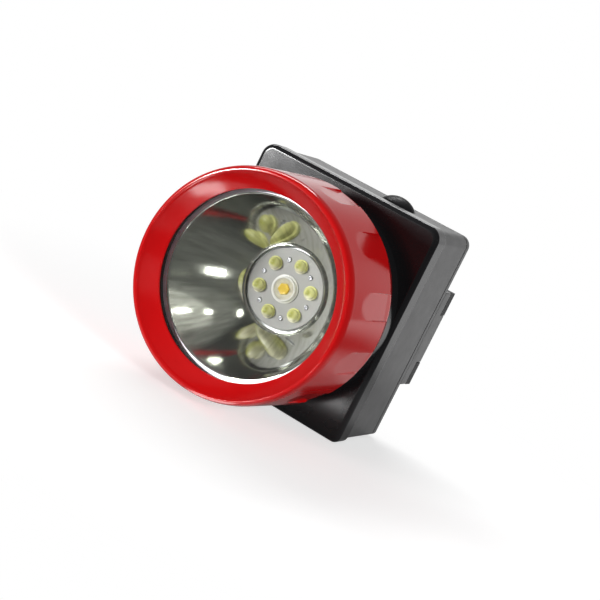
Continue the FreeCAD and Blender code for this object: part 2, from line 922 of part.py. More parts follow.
def make_button_seal():
    """Rubber ring round the stem, in the groove of the button's well."""
    floor = wall_top_z - button_well_depth - groove_depth
    z = (floor + button_seal_gap, floor + groove_depth - button_seal_gap)
    ring = rod_z(groove_radius - button_seal_gap, button_x, button_y, z)
    return ring.cut(rod_z(stem_radius + stem_gap, button_x, button_y, z))


def make_switch_plunger():
    """Small round plunger that the stem presses."""
    top = stem_foot_z()
    return rod_z(plunger_radius, button_x, button_y, (top - plunger_shown - plunger_sunk, top))


def make_tact_switch():
    """Square switch with a bore for its plunger."""
    foot = switch_board_top()
    top = foot + switch_height
    solid = box(span(button_x, switch_side), span(button_y, switch_side), (foot, top))
    floor = top - plunger_sunk - button_travel - plunger_gap
    return solid.cut(rod_z(plunger_radius + plunger_gap, button_x, button_y, (floor, top + past)))


def make_switch_board():
    """Small board that hangs on two pegs under the top wall."""
    top = switch_board_top()
    foot = top - switch_board_thickness
    solid = box(span(button_x, switch_board_width), span(button_y, switch_board_depth), (foot, top))
    for x, y in peg_places():
        solid = solid.cut(rod_z(peg_tip_radius + peg_gap, x, y, (foot - past, top + past)))
    return solid


def make_charge_socket():
    """Round socket in the side wall, with its bore."""
    mouth = socket_recess_floor() + socket_sunk
    inner = socket_pad_inner()
    nose = rod_x(socket_radius, (mouth, inner + merge), button_y, socket_z)
    block = box((inner, inner + socket_body_depth), span(button_y, socket_body_side),
                span(socket_z, socket_body_side))
    bore = rod_x(socket_bore, (mouth - past, mouth + socket_bore_depth), button_y, socket_z)
    return nose.fuse(block).cut(bore).removeSplitter()


def make_socket_pin():
    """Metal centre pin of the charging socket, on the floor of its bore."""
    mouth = socket_recess_floor() + socket_sunk
    return rod_x(socket_pin_radius, (mouth + plug_length + socket_pin_drop, mouth + socket_bore_depth),
                 button_y, socket_z)


def flap_pivot():
    """X and Z of the flap's fold line, along Y at its top edge."""
    return socket_recess_floor() - flap_thickness / 2, socket_z + flap_height / 2 - flap_thickness / 2


def make_socket_cover():
    """Rubber flap with a rounded fold at its top and a hollow plug behind."""
    pivot_x, pivot_z = flap_pivot()
    y = span(button_y, flap_width)
    back = socket_recess_floor()
    solid = box((back - flap_thickness, back), y, (socket_z - flap_height / 2, pivot_z))
    solid = round_lower_x_edges(solid, flap_corner - flap_gap)
    fold = rod(flap_thickness / 2, Vector(pivot_x, y[0], pivot_z), Vector(pivot_x, y[1], pivot_z))
    plug = rod_x(plug_outer, (back - merge, back + plug_length), button_y, socket_z)
    hollow = rod_x(plug_inner, (back, back + plug_length + past), button_y, socket_z)
    return solid.fuse(fold).fuse(plug).cut(hollow)


def make_control_board():
    """Upright board behind the front cover, with two chips and a coil on its rear side."""
    front = face_y + control_depth
    rear = front + control_thickness
    middle = control_foot + control_height / 2
    solid = box(span(0, control_width), (front, rear), (control_foot, control_foot + control_height))
    for x, z in control_places():
        solid = solid.cut(rod_y(control_screw_radius + hole_gap, x, z, (front - past, rear + past)))
    for x, z in ((-control_width / 4, middle), (0, middle - control_height / 4)):
        chip = box(span(x, chip_width), (rear - merge, rear + chip_thickness), span(z, chip_height))
        solid = solid.fuse(chip)
    coil = rod_y(coil_radius, control_width / 4, middle, (rear - merge, rear + coil_height))
    return solid.fuse(coil).removeSplitter()


def make_battery_cell():
    """Flat lithium cell with rounded sides, upright behind the board."""
    solid = box(span(cell_x, cell_width), cell_span(), (cell_foot, cell_foot + cell_height))
    edges = []
    for edge in solid.Edges:
        run = edge.Vertexes[-1].Point - edge.Vertexes[0].Point
        if abs(abs(run.z) - run.Length) < tiny:
            edges.append(edge)
    return solid.makeFillet(cell_corner, edges)


def make_battery_pads():
    """Two foam pads between the cell and the back cover, level with its ends."""
    width = cell_width - 2 * (cell_corner + pad_inset)
    solids = []
    for end in (-1, 1):
        middle = cell_foot + cell_height / 2 + end * (cell_height / 2 - pad_height)
        solids.append(box(span(cell_x, width), (back_y - pad_thickness, back_y), span(middle, pad_height)))
    return Part.makeCompound(solids)


def bent_wire(points, radius):
    """A round wire along straight runs, joined by arcs as large as the runs allow."""
    edges = []
    here = points[0]
    for before, corner, after in zip(points, points[1:], points[2:]):
        back = (before - corner).normalize()
        ahead = (after - corner).normalize()
        turn = math.pi - back.getAngle(ahead)
        trim = 0.45 * min((before - corner).Length, (after - corner).Length)
        bend = trim / math.tan(turn / 2)
        centre_way = (back + ahead).normalize()
        start = corner + back * trim
        end = corner + ahead * trim
        middle = corner + centre_way * (bend / math.cos(turn / 2) - bend)
        edges.append(Part.LineSegment(here, start).toShape())
        edges.append(Part.Arc(start, middle, end).toShape())
        here = end
    edges.append(Part.LineSegment(here, points[-1]).toShape())
    circle = Part.Circle(points[0], points[1] - points[0], radius).toShape()
    return Part.Wire(edges).makePipeShell([Part.Wire([circle])], True, False)


def make_led_leads():
    """Two wires from the light board's hole to the control board."""
    x, z = on_board(board_hole_place, board_hole_angle)
    spread = wire_radius + wire_gap / 2
    y = (face_y - board_rear_reach, face_y + control_depth)
    return Part.makeCompound([rod_y(wire_radius, x + side * spread, z, y) for side in (-1, 1)])


def make_battery_leads():
    """Two wires from the top of the cell down to the control board."""
    solids = []
    top = cell_foot + cell_height
    over = top + lead_arch
    middle_y = (cell_span()[0] + cell_span()[1]) / 2
    board_y = face_y + control_depth + control_thickness
    down_y = (board_y + cell_span()[0]) / 2
    end_z = control_foot + control_height - lead_margin
    beside_switch = button_x - switch_board_width / 2 - lead_beside
    for x in (beside_switch, beside_switch - lead_spread):
        points = [
            Vector(x, middle_y, top),
            Vector(x, middle_y, over),
            Vector(x, down_y, over),
            Vector(x, down_y, end_z),
            Vector(x, board_y, end_z),
        ]
        solids.append(bent_wire(points, wire_radius))
    return Part.makeCompound(solids)


def main():
    """Build every piece and write it out."""
    os.makedirs("parts", exist_ok=True)
    control_seat = face_y + control_depth + control_thickness
    pieces = {
        "front_cover": make_front_cover(),
        "case_body": make_case_body(),
        "back_cover": make_back_cover(),
        "cover_seal": make_case_seal(body_y, rebate_depth - seal_thickness),
        "back_seal": make_case_seal(back_y, -rebate_depth),
        "case_screws": make_case_screws(),
        "strap_frame": make_strap_frame(),
        "bezel_ring": make_bezel_ring(),
        "lens": make_lens(),
        "lens_gasket": make_lens_gasket(),
        "barrel_seal": make_barrel_seal(),
        "reflector": make_reflector(),
        "led_board": make_led_board(),
        "main_led": make_main_led(),
        "main_led_dome": make_main_led_dome(),
        "aux_leds": make_aux_leds(),
        "heat_sink": make_heat_sink(),
        "sink_screws": make_small_screws(
            sink_places(), face_y + front_wall, sink_screw_radius, sink_screw_head_radius,
            sink_screw_head, front_wall + sink_base - sink_screw_spare),
        "push_button": make_push_button(),
        "button_clip": make_button_clip(),
        "button_seal": make_button_seal(),
        "switch_plunger": make_switch_plunger(),
        "tact_switch": make_tact_switch(),
        "switch_board": make_switch_board(),
        "charge_socket": make_charge_socket(),
        "socket_pin": make_socket_pin(),
        "socket_cover": make_socket_cover(),
        "control_board": make_control_board(),
        "board_screws": make_small_screws(
            control_places(), control_seat, control_screw_radius, control_screw_head_radius,
            control_screw_head, control_thickness + control_screw_bite),
        "battery_cell": make_battery_cell(),
        "battery_pads": make_battery_pads(),
        "battery_leads": make_battery_leads(),
        "led_leads": make_led_leads(),
    }
    for name, shape in pieces.items():
        save(shape, name)


main()
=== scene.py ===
"""Looks of a cordless miner's cap lamp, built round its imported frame.

Frame: metres, +Z up, the lamp shines towards -Y, +X is on the right in a view
of its front. Sizes of the pieces are written in millimetres, and a finished
piece is scaled to metres once. A reach is a distance in front of the case's
front face, towards -Y.
"""
import logging
import math
from dataclasses import dataclass
from enum import Enum
from typing import Callable, Iterable, Sequence

import bmesh
import bpy
from mathutils import Matrix, Vector

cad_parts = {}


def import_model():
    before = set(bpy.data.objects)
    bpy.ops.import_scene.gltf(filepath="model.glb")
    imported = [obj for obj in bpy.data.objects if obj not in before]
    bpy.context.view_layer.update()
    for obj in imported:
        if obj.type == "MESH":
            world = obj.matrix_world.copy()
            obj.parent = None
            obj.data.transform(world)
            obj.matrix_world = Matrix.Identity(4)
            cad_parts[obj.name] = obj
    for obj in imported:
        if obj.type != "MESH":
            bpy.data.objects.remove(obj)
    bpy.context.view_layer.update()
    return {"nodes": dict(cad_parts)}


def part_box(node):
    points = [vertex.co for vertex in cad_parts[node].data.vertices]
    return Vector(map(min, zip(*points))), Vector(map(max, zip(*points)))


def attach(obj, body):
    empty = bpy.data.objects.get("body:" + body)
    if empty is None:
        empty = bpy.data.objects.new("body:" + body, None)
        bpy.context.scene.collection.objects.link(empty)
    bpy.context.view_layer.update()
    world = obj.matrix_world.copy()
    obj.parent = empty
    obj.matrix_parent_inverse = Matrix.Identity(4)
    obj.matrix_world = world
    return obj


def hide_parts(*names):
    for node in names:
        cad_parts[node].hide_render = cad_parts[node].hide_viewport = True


MM = 0.001
FULL_TURN = 2 * math.pi
# How far a cutter runs past the face that it opens, and a joined shape into what it stands on, in millimetres
OVERRUN = 1.0
ROOT = 1.0
LOG = logging.getLogger("cap_lamp")

Point = tuple[float, float]
Corner = tuple[float, float, float]
Color = tuple[float, float, float]
Place = Callable[[float, float, float], Vector]

# Eased edges of the box, as (inset, depth) from the sharp edge that they take the place of
COVER_EASE = ((0.0, 0.5), (0.0, 0.35), (0.03, 0.2), (0.12, 0.08), (0.25, 0.0), (0.4, 0.0))
BODY_EASE = ((0.4, 0.0), (0.25, 0.02), (0.08, 0.1), (0.0, 0.3), (0.0, 0.45))
SEAM_EASE = ((0.0, 0.6), (0.0, 0.45), (0.08, 0.2), (0.25, 0.05), (0.45, 0.0))


class Sock:
    """A node's output, whose operators add Math nodes to its tree."""

    def __init__(self, tree: "Tree", link: bpy.types.NodeSocket) -> None:
        """Keep the tree and the output socket."""
        self.tree = tree
        self.link = link

    def math(self, operation: str, *others: "Sock | float") -> "Sock":
        """Run one Math operation on this value and up to two more."""
        values = dict(enumerate((self, *others)))
        return self.tree.sock("ShaderNodeMath", {"operation": operation}, values)

    def flipped(self, operation: str, other: float) -> "Sock":
        """Run one Math operation with the other value first."""
        return self.tree.sock("ShaderNodeMath", {"operation": operation}, {0: other, 1: self})

    def __add__(self, other: "Sock | float") -> "Sock":
        """Sum."""
        return self.math("ADD", other)

    def __sub__(self, other: "Sock | float") -> "Sock":
        """Difference."""
        return self.math("SUBTRACT", other)

    def __rsub__(self, other: float) -> "Sock":
        """Difference from a number."""
        return self.flipped("SUBTRACT", other)

    def __mul__(self, other: "Sock | float") -> "Sock":
        """Product."""
        return self.math("MULTIPLY", other)

    def __truediv__(self, other: "Sock | float") -> "Sock":
        """Quotient."""
        return self.math("DIVIDE", other)

    def __rtruediv__(self, other: float) -> "Sock":
        """A number divided by this value."""
        return self.flipped("DIVIDE", other)

    def __neg__(self) -> "Sock":
        """Negative."""
        return self.math("MULTIPLY", -1.0)

    __radd__ = __add__
    __rmul__ = __mul__

    def hypot(self, other: "Sock") -> "Sock":
        """Distance whose two parts are this value and another."""
        return (self * self + other * other).math("SQRT")

    def ramp(self, low: float, high: float) -> "Sock":
        """Smooth step from 0 at low to 1 at high."""
        inputs = {"Value": self, "From Min": low, "From Max": high}
        return self.tree.sock("ShaderNodeMapRange", {"interpolation_type": "SMOOTHSTEP"}, inputs)


class Tree:
    """A node tree and the one way in which nodes are added to it."""

    def __init__(self, tree: bpy.types.NodeTree) -> None:
        """Wrap a tree."""
        self.tree = tree

    def node(self, kind: str, settings: dict | None = None, inputs: dict | None = None) -> bpy.types.Node:
        """Add a node.

        Args:
            kind: The node's type name.
            settings: Its properties, which are set first.
            inputs: Values or Socks by input name or number.

        Returns:
            The new node.
        """
        made = self.tree.nodes.new(kind)
        for name, value in (settings or {}).items():
            setattr(made, name, value)
        for key, value in (inputs or {}).items():
            if isinstance(value, Sock):
                self.tree.links.new(value.link, made.inputs[key])
            else:
                made.inputs[key].default_value = value
        return made

    def sock(self, kind: str, settings: dict | None = None, inputs: dict | None = None,
             output: str | int = 0) -> Sock:
        """Add a node and return one of its outputs."""
        return Sock(self, self.node(kind, settings, inputs).outputs[output])

    def split(self, vector: Sock) -> tuple[Sock, Sock, Sock]:
        """The three numbers of a vector."""
        parts = self.node("ShaderNodeSeparateXYZ", inputs={0: vector})
        return tuple(Sock(self, parts.outputs[k]) for k in range(3))


class Grain(Enum):
    """How fine the relief of a finish is, and what makes it."""

    POLISHED = "faint waves left by a polished mould"
    SPARKED = "fine pits of a spark-eroded mould"
    RUBBER = "dull pebbled skin"
    TURNED = "tool rings round the lamp's axis"
    FIBRE = "woven glass under a mask"


class MaterialTree(Tree):
    """A material's tree, with its output shader and the patterns that finishes share."""

    def __init__(self, name: str) -> None:
        """Create the material with an empty tree.

        Args:
            name: The material's name.
        """
        self.material = bpy.data.materials.new(name)
        self.material.use_nodes = True
        self.material.node_tree.nodes.clear()
        super().__init__(self.material.node_tree)
        self.place = self.sock("ShaderNodeTexCoord", output="Object")

    def close(self, shader: Sock) -> bpy.types.Material:
        """Link the shader to the output and return the material."""
        self.node("ShaderNodeOutputMaterial", inputs={"Surface": shader})
        return self.material

    def noise(self, size: float, detail: float = 2.0) -> Sock:
        """Noise from 0 to 1 whose blobs are about the given size in metres."""
        inputs = {"Vector": self.place, "Scale": 1.0 / size, "Detail": detail}
        return self.sock("ShaderNodeTexNoise", inputs=inputs)

    def blend_color(self, share: Sock, first: Color | Sock, second: Color | Sock) -> Sock:
        """Mix two colours."""
        colors = [color if isinstance(color, Sock) else (*color, 1.0) for color in (first, second)]
        return self.sock("ShaderNodeMix", {"data_type": "RGBA"}, {0: share, 6: colors[0], 7: colors[1]}, output=2)

    def height(self, grain: Grain, size: float, axis_z: float) -> Sock:
        """Relief of a finish.

        Args:
            grain: What makes the relief.
            size: Its spacing in metres.
            axis_z: Height of the lamp's axis in metres.

        Returns:
            A height from 0 to 1.
        """
        x, _, z = self.split(self.place)
        wave = FULL_TURN / size
        if grain is Grain.TURNED:
            return (x.hypot(z - axis_z) * wave).math("SINE") * 0.5 + 0.5
        if grain is Grain.FIBRE:
            return (x * wave).math("SINE") * (z * wave).math("SINE") * 0.5 + 0.5
        return self.noise(size, {Grain.POLISHED: 1.0, Grain.SPARKED: 4.0, Grain.RUBBER: 6.0}[grain])

    def bump(self, height: Sock, strength: float, distance: float) -> Sock:
        """Normal of a relief of the given depth in metres."""
        return self.sock("ShaderNodeBump", inputs={"Strength": strength, "Distance": distance, "Height": height})


@dataclass(frozen=True)
class Finish:
    """A solid finish: colour with mottling, gloss with smudges, and a fine relief."""

    name: str
    color: Color
    roughness: float
    metallic: float = 0.0
    specular: float = 0.5
    coat: float = 0.0
    grain: Grain = Grain.SPARKED
    grain_size: float = 0.5 * MM
    grain_depth: float = 0.01 * MM
    grain_strength: float = 0.4
    mottle: float = 0.12
    mottle_size: float = 9 * MM
    smudge: float = 0.06
    smudge_share: float = 0.45

    def build(self, axis_z: float) -> bpy.types.Material:
        """Make the material.

        Args:
            axis_z: Height of the lamp's axis in metres.

        Returns:
            The material.
        """
        tree = MaterialTree(self.name)
        darker = tuple(c * (1 - self.mottle) for c in self.color)
        lighter = tuple(min(1.0, c * (1 + self.mottle)) for c in self.color)
        smudge = (tree.noise(self.mottle_size * self.smudge_share, 4.0) - 0.5) * (2 * self.smudge)
        height = tree.height(self.grain, self.grain_size, axis_z)
        return tree.close(tree.sock("ShaderNodeBsdfPrincipled", inputs={
            "Base Color": tree.blend_color(tree.noise(self.mottle_size, 3.0), darker, lighter),
            "Roughness": smudge + self.roughness,
            "Metallic": self.metallic,
            "Specular IOR Level": self.specular,
            "Coat Weight": self.coat,
            "Normal": tree.bump(height, self.grain_strength, self.grain_depth),
        }))


@dataclass(frozen=True)
class MirrorFinish:
    """Vacuum-plated bowl: a dark mirror with faint streaks that run out from the light."""

    name: str = "plated_mirror"
    color: Color = (0.70, 0.71, 0.66)
    streak_color: Color = (0.56, 0.57, 0.52)
    flange_color: Color = (0.86, 0.83, 0.90)
    flange_radius: float = 28.3 * MM
    flange_blend: float = 0.1 * MM
    flange_roughness: float = 0.4
    streaks_round: float = 9.0
    streaks_along: float = 60.0
    streak_scale: float = 1.6
    streak_detail: float = 5.0
    streak_low: float = 0.4
    streak_high: float = 0.65
    streak_dull: float = 0.04
    spot_size: float = 2.5 * MM
    spot_dull: float = 0.05
    roughness: float = 0.025

    def build(self, axis_z: float) -> bpy.types.Material:
        """Make the material.

        Args:
            axis_z: Height of the lamp's axis in metres.

        Returns:
            The material.
        """
        tree = MaterialTree(self.name)
        x, y, z = tree.split(tree.place)
        up = z - axis_z
        turn = up.math("ARCTAN2", x)
        around = tree.sock("ShaderNodeCombineXYZ",
                           inputs={0: turn * self.streaks_round, 1: y * self.streaks_along})
        streak = tree.sock("ShaderNodeTexNoise",
                           inputs={"Vector": around, "Scale": self.streak_scale, "Detail": self.streak_detail})
        flange = x.hypot(up).ramp(self.flange_radius, self.flange_radius + self.flange_blend)
        bowl = tree.blend_color(streak.ramp(self.streak_low, self.streak_high), self.color, self.streak_color)
        spots = tree.noise(self.spot_size, 3.0)
        dull = spots * self.spot_dull + streak * self.streak_dull + flange * self.flange_roughness
        return tree.close(tree.sock("ShaderNodeBsdfPrincipled", inputs={
            "Base Color": tree.blend_color(flange, bowl, self.flange_color),
            "Metallic": 1.0,
            "Roughness": dull + self.roughness,
        }))


@dataclass(frozen=True)
class ClearFinish:
    """Clear moulded sheet: mostly see-through, with a reflection that grows at a slant."""

    name: str = "clear_lens"
    facing_share: float = 0.03
    slant_power: float = 5.0
    tint: Color = (0.99, 0.995, 0.992)
    roughness: float = 0.02

    def build(self, _axis_z: float) -> bpy.types.Material:
        """Make the material.

        Args:
            _axis_z: Height of the lamp's axis, which this finish has no use for.

        Returns:
            The material.
        """
        tree = MaterialTree(self.name)
        through = tree.sock("ShaderNodeBsdfTransparent", inputs={"Color": (*self.tint, 1.0)})
        gloss = tree.sock("ShaderNodeBsdfGlossy", inputs={"Roughness": self.roughness})
        facing = tree.sock("ShaderNodeLayerWeight", inputs={"Blend": 0.5}, output="Facing")
        share = facing.math("POWER", self.slant_power) * (1 - self.facing_share) + self.facing_share
        return tree.close(tree.sock("ShaderNodeMixShader", inputs={0: share, 1: through, 2: gloss}))


@dataclass(frozen=True)
class DomeFinish:
    """Clear silicone dome that bends light."""

    name: str = "clear_silicone"
    ior: float = 1.41
    tint: Color = (1.0, 0.99, 0.95)
    roughness: float = 0.02

    def build(self, _axis_z: float) -> bpy.types.Material:
        """Make the material.

        Args:
            _axis_z: Height of the lamp's axis, which this finish has no use for.

        Returns:
            The material.
        """
        tree = MaterialTree(self.name)
        glass = {"Color": (*self.tint, 1.0), "Roughness": self.roughness, "IOR": self.ior}
        return tree.close(tree.sock("ShaderNodeBsdfGlass", inputs=glass))


@dataclass(frozen=True)
class PhosphorFinish:
    """Yellow light-emitting body seen through its own clear resin, darker along its middle, with a painted
    highlight of pale cream on its lower part.
    """

    name: str = "yellow_phosphor"
    edge: Color = (0.84, 0.84, 0.34)
    middle: Color = (0.42, 0.43, 0.06)
    # Pale cream of the painted highlight on the lower part of each small light.
    painted_glow: Color = (1.0, 0.97, 0.72)
    radius: float = 1.85
    band_start: float = 0.1
    band_end: float = 0.62
    # Where the painted highlight begins and where it is full, as shares of the radius below the light's middle.
    highlight_start: float = 0.1
    highlight_end: float = 0.85
    relief_size: float = 0.5 * MM
    relief_depth: float = 0.02 * MM
    smudge_size: float = 0.6 * MM

    def build(self, _axis_z: float) -> bpy.types.Material:
        """Make the material; the attribute own_place gives millimetres from the light's own foot.

        Args:
            _axis_z: Height of the lamp's axis, which this finish has no use for.

        Returns:
            The material.
        """
        tree = MaterialTree(self.name)
        own = tree.sock("ShaderNodeAttribute", {"attribute_name": "own_place"}, output="Vector")
        x, _, z = tree.split(own)
        band = x.hypot(z * 0.5).ramp(self.band_start * self.radius, self.band_end * self.radius)
        # Painted highlight: the lower part of each small light is blended towards pale cream.
        low = z.ramp(-self.highlight_start * self.radius, -self.highlight_end * self.radius)
        body = tree.blend_color(band, self.middle, self.edge)
        return tree.close(tree.sock("ShaderNodeBsdfPrincipled", inputs={
            "Base Color": tree.blend_color(low, body, self.painted_glow),
            "Roughness": tree.noise(self.smudge_size) * 0.1 + 0.2,
            "Coat Weight": 0.6,
            "Normal": tree.bump(tree.noise(self.relief_size), 0.15, self.relief_depth),
        }))


class Finishes:
    """Every material of the lamp, by name, each built once."""

    red = Finish("red_gloss", (0.55, 0.004, 0.005), 0.13, grain=Grain.POLISHED, grain_size=3 * MM,
                 grain_strength=0.05, mottle=0.03, smudge=0.03, specular=0.4)
    cover = Finish("black_gloss", (0.010, 0.010, 0.011), 0.16, grain=Grain.POLISHED, grain_size=4 * MM,
                   grain_strength=0.06, smudge=0.04, specular=0.38)
    body = Finish("black_satin", (0.06, 0.06, 0.061), 0.33, grain_size=0.35 * MM, grain_depth=0.02 * MM)
    frame = Finish("black_dull", (0.014, 0.014, 0.015), 0.5, grain_size=0.35 * MM, grain_depth=0.02 * MM)
    button = Finish("black_smooth", (0.012, 0.012, 0.013), 0.42, grain=Grain.POLISHED, grain_size=2 * MM,
                    specular=0.12)
    rubber = Finish("black_rubber", (0.016, 0.016, 0.016), 0.62, grain=Grain.RUBBER, grain_size=0.3 * MM,
                    grain_depth=0.03 * MM, specular=0.3)
    board = Finish("pale_mask", (0.42, 0.415, 0.40), 0.4, grain=Grain.FIBRE, mottle=0.05, mottle_size=4 * MM)
    white = Finish("white_resin", (0.86, 0.85, 0.80), 0.3, grain_size=0.3 * MM, mottle=0.04)
    die = Finish("amber_die", (0.95, 0.62, 0.04), 0.4, grain_size=0.15 * MM, mottle=0.2, mottle_size=0.5 * MM)
    steel = Finish("zinc_steel", (0.5, 0.5, 0.51), 0.32, metallic=1.0, grain_size=0.2 * MM, mottle=0.1)
    solder = Finish("solder", (0.42, 0.42, 0.44), 0.3, metallic=1.0, grain_size=0.3 * MM, mottle=0.3,
                    mottle_size=1 * MM)
    sink = Finish("turned_aluminium", (0.72, 0.73, 0.74), 0.3, metallic=1.0, grain=Grain.TURNED,
                  grain_size=0.25 * MM)
    green = Finish("green_mask", (0.02, 0.12, 0.05), 0.35, grain=Grain.FIBRE, grain_size=0.6 * MM)
    can = Finish("blue_wrap", (0.08, 0.17, 0.36), 0.3, grain=Grain.POLISHED, grain_size=5 * MM, coat=0.4)
    foam = Finish("grey_foam", (0.12, 0.12, 0.12), 0.9, grain=Grain.RUBBER, grain_size=0.7 * MM,
                  grain_depth=0.2 * MM, grain_strength=0.8)
    wire = Finish("red_insulation", (0.5, 0.02, 0.02), 0.4, grain=Grain.POLISHED, grain_size=1 * MM)
    mirror = MirrorFinish()
    lens = ClearFinish()
    dome = DomeFinish()
    phosphor = PhosphorFinish()

    axis_z: float = 0.0
    _built: dict[str, bpy.types.Material] = {}

    @classmethod
    def get(cls, name: str) -> bpy.types.Material:
        """Find or make a material; main sets axis_z, the height of the lamp's axis in metres, first.

        Args:
            name: Name of the finish.

        Returns:
            Its material.
        """
        if name not in cls._built:
            cls._built[name] = getattr(cls, name).build(cls.axis_z)
        return cls._built[name]


def linked(name: str, data: bpy.types.ID) -> bpy.types.Object:
    """Put data into the scene.

    Args:
        name: Name of the new object.
        data: Its mesh, light or camera.

    Returns:
        The object, at the origin.
    """
    item = bpy.data.objects.new(name, data)
    bpy.context.scene.collection.objects.link(item)
    return item


def evaluated_mesh(item: bpy.types.Object) -> bpy.types.Mesh:
    """A plain mesh of an object with its modifiers applied."""
    graph = bpy.context.evaluated_depsgraph_get()
    return bpy.data.meshes.new_from_object(item.evaluated_get(graph), preserve_all_data_layers=True,
                                           depsgraph=graph)


def even_angles(count: int) -> list[float]:
    """Angles spread evenly round a turn."""
    return [FULL_TURN * k / count for k in range(count)]


class Axis(Enum):
    """Direction in which a turned shape's axis runs."""

    X = 0
    Y = 1
    Z = 2

    def at(self, first: float, second: float) -> Place:
        """Places round an axis in this direction.

        Args:
            first: Where the axis stands, by the first of the two other coordinates.
            second: The same by the second.

        Returns:
            A function of radius, distance along the axis and angle.
        """
        def place(radius: float, along: float, angle: float) -> Vector:
            """One point, in millimetres."""
            spot = [first + radius * math.cos(angle), second + radius * math.sin(angle)]
            return Vector((*spot[:self.value], along, *spot[self.value:]))

        return place


class Solid:
    """A closed mesh in millimetres, while a piece is being shaped."""

    def __init__(self, vertices: Sequence[Vector], faces: Sequence[Sequence[int]]) -> None:
        """Make the mesh and turn its faces outwards.

        Args:
            vertices: Points in millimetres; equal ones are merged.
            faces: Point numbers of each face.
        """
        self.mesh = bpy.data.meshes.new("shape")
        self.mesh.from_pydata([tuple(v) for v in vertices], [], [tuple(f) for f in faces])
        work = bmesh.new()
        work.from_mesh(self.mesh)
        bmesh.ops.remove_doubles(work, verts=work.verts, dist=1e-5)
        bmesh.ops.recalc_face_normals(work, faces=work.faces)
        work.to_mesh(self.mesh)
        work.free()

    @classmethod
    def loft(cls, rings: Sequence[Sequence[Vector]], loop: bool = False) -> "Solid":
        """Join rings of equally many points.

        Args:
            rings: The rings in order.
            loop: Join the last ring to the first instead of closing both with flat caps.

        Returns:
            The solid.
        """
        count = len(rings[0])
        vertices = [point for ring in rings for point in ring]
        faces: list[list[int]] = []
        for k in range(len(rings) if loop else len(rings) - 1):
            a, b = k * count, ((k + 1) % len(rings)) * count
            faces += [[a + i, a + (i + 1) % count, b + (i + 1) % count, b + i] for i in range(count)]
        if not loop:
            faces += [list(range(count)), list(range(len(vertices) - count, len(vertices)))]
        return cls(vertices, faces)

    @classmethod
    def turned(cls, profile: Sequence[Point], place: Place, angles: Sequence[float] | int) -> "Solid":
        """Turn a closed profile about an axis.

        Args:
            profile: Points (radius, along), with single points on the axis.
            place: Gives the point at a radius, a distance along the axis and an angle.
            angles: The angles of the mesh, or their number where they are even.

        Returns:
            The solid.
        """
        angles = even_angles(angles) if isinstance(angles, int) else angles
        count = len(angles)
        vertices: list[Vector] = []
        rows: list[list[int]] = []
        for radius, along in profile:
            if radius < 1e-6:
                rows.append([len(vertices)] * count)
                vertices.append(place(0.0, along, 0.0))
            else:
                rows.append(list(range(len(vertices), len(vertices) + count)))
                vertices += [place(radius, along, angle) for angle in angles]
        faces: list[list[int]] = []
        for first, second in zip(rows, rows[1:] + rows[:1]):
            for i in range(count):
                j = (i + 1) % count
                corners = list(dict.fromkeys((first[i], first[j], second[j], second[i])))
                if len(corners) > 2:
                    faces.append(corners)
        return cls(vertices, faces)

    @classmethod
    def block(cls, x: Point, y: Point, z: Point) -> "Solid":
        """A box from three (low, high) pairs."""
        corners = ((x[0], z[0]), (x[1], z[0]), (x[1], z[1]), (x[0], z[1]))
        return cls.loft([[Vector((a, depth, c)) for a, c in corners] for depth in y])

    @classmethod
    def bar(cls, place: Place, radius: float, ends: Point, count: int = 48) -> "Solid":
        """A round bar between two ends on an axis."""
        low, high = ends
        return cls.turned([(0.0, low), (radius, low), (radius, high), (0.0, high)], place, count)

    def combined(self, others: Iterable["Solid"], operation: str) -> "Solid":
        """Join or cut with other solids, one after the other.

        Args:
            others: The other solids.
            operation: The Boolean modifier's operation.

        Returns:
            This solid.
        """
        for other in others:
            here, there = linked("here", self.mesh), linked("there", other.mesh)
            modifier = here.modifiers.new("join", "BOOLEAN")
            modifier.operation = operation
            modifier.solver = "EXACT"
            modifier.object = there
            self.mesh = evaluated_mesh(here)
            bpy.data.objects.remove(here)
            bpy.data.objects.remove(there)
        return self

    def join(self, *others: "Solid") -> "Solid":
        """This solid with others added."""
        return self.combined(others, "UNION")

    def cut(self, *others: "Solid") -> "Solid":
        """This solid with others taken away."""
        return self.combined(others, "DIFFERENCE")

    def smoothed(self, limit: float) -> None:
        """Shade the faces smoothly.

        Args:
            limit: Edges sharper than this, in degrees, stay sharp.
        """
        for polygon in self.mesh.polygons:
            polygon.use_smooth = True
        if not self.mesh.has_custom_normals:
            self.mesh.set_sharp_from_angle(angle=math.radians(limit))

    def eased(self, width: float, segments: int = 3, limit: float = 40.0) -> "Solid":
        """Round the sharp edges.

        Args:
            width: Width of the rounding in millimetres.
            segments: Its number of faces.
            limit: Edges sharper than this, in degrees, are rounded.

        Returns:
            This solid.
        """
        self.smoothed(limit)
        item = linked("eased", self.mesh)
        modifier = item.modifiers.new("ease", "BEVEL")
        modifier.width = width
        modifier.segments = segments
        modifier.limit_method = "ANGLE"
        modifier.angle_limit = math.radians(limit)
        modifier.use_clamp_overlap = True
        modifier.harden_normals = True
        self.mesh = evaluated_mesh(item)
        bpy.data.objects.remove(item)
        return self

    def piece(self, name: str, finish: str, smooth: float = 35.0) -> bpy.types.Object:
        """Scale the mesh to metres and link it as a finished piece.

        Args:
            name: The piece's name.
            finish: The name of its finish.
            smooth: Edges sharper than this, in degrees, stay sharp.

        Returns:
            The object, at the origin.
        """
        self.mesh.name = name
        self.mesh.transform(Matrix.Scale(MM, 4))
        self.smoothed(smooth)
        self.mesh.materials.clear()
        self.mesh.materials.append(Finishes.get(finish))
        return linked(name, self.mesh)


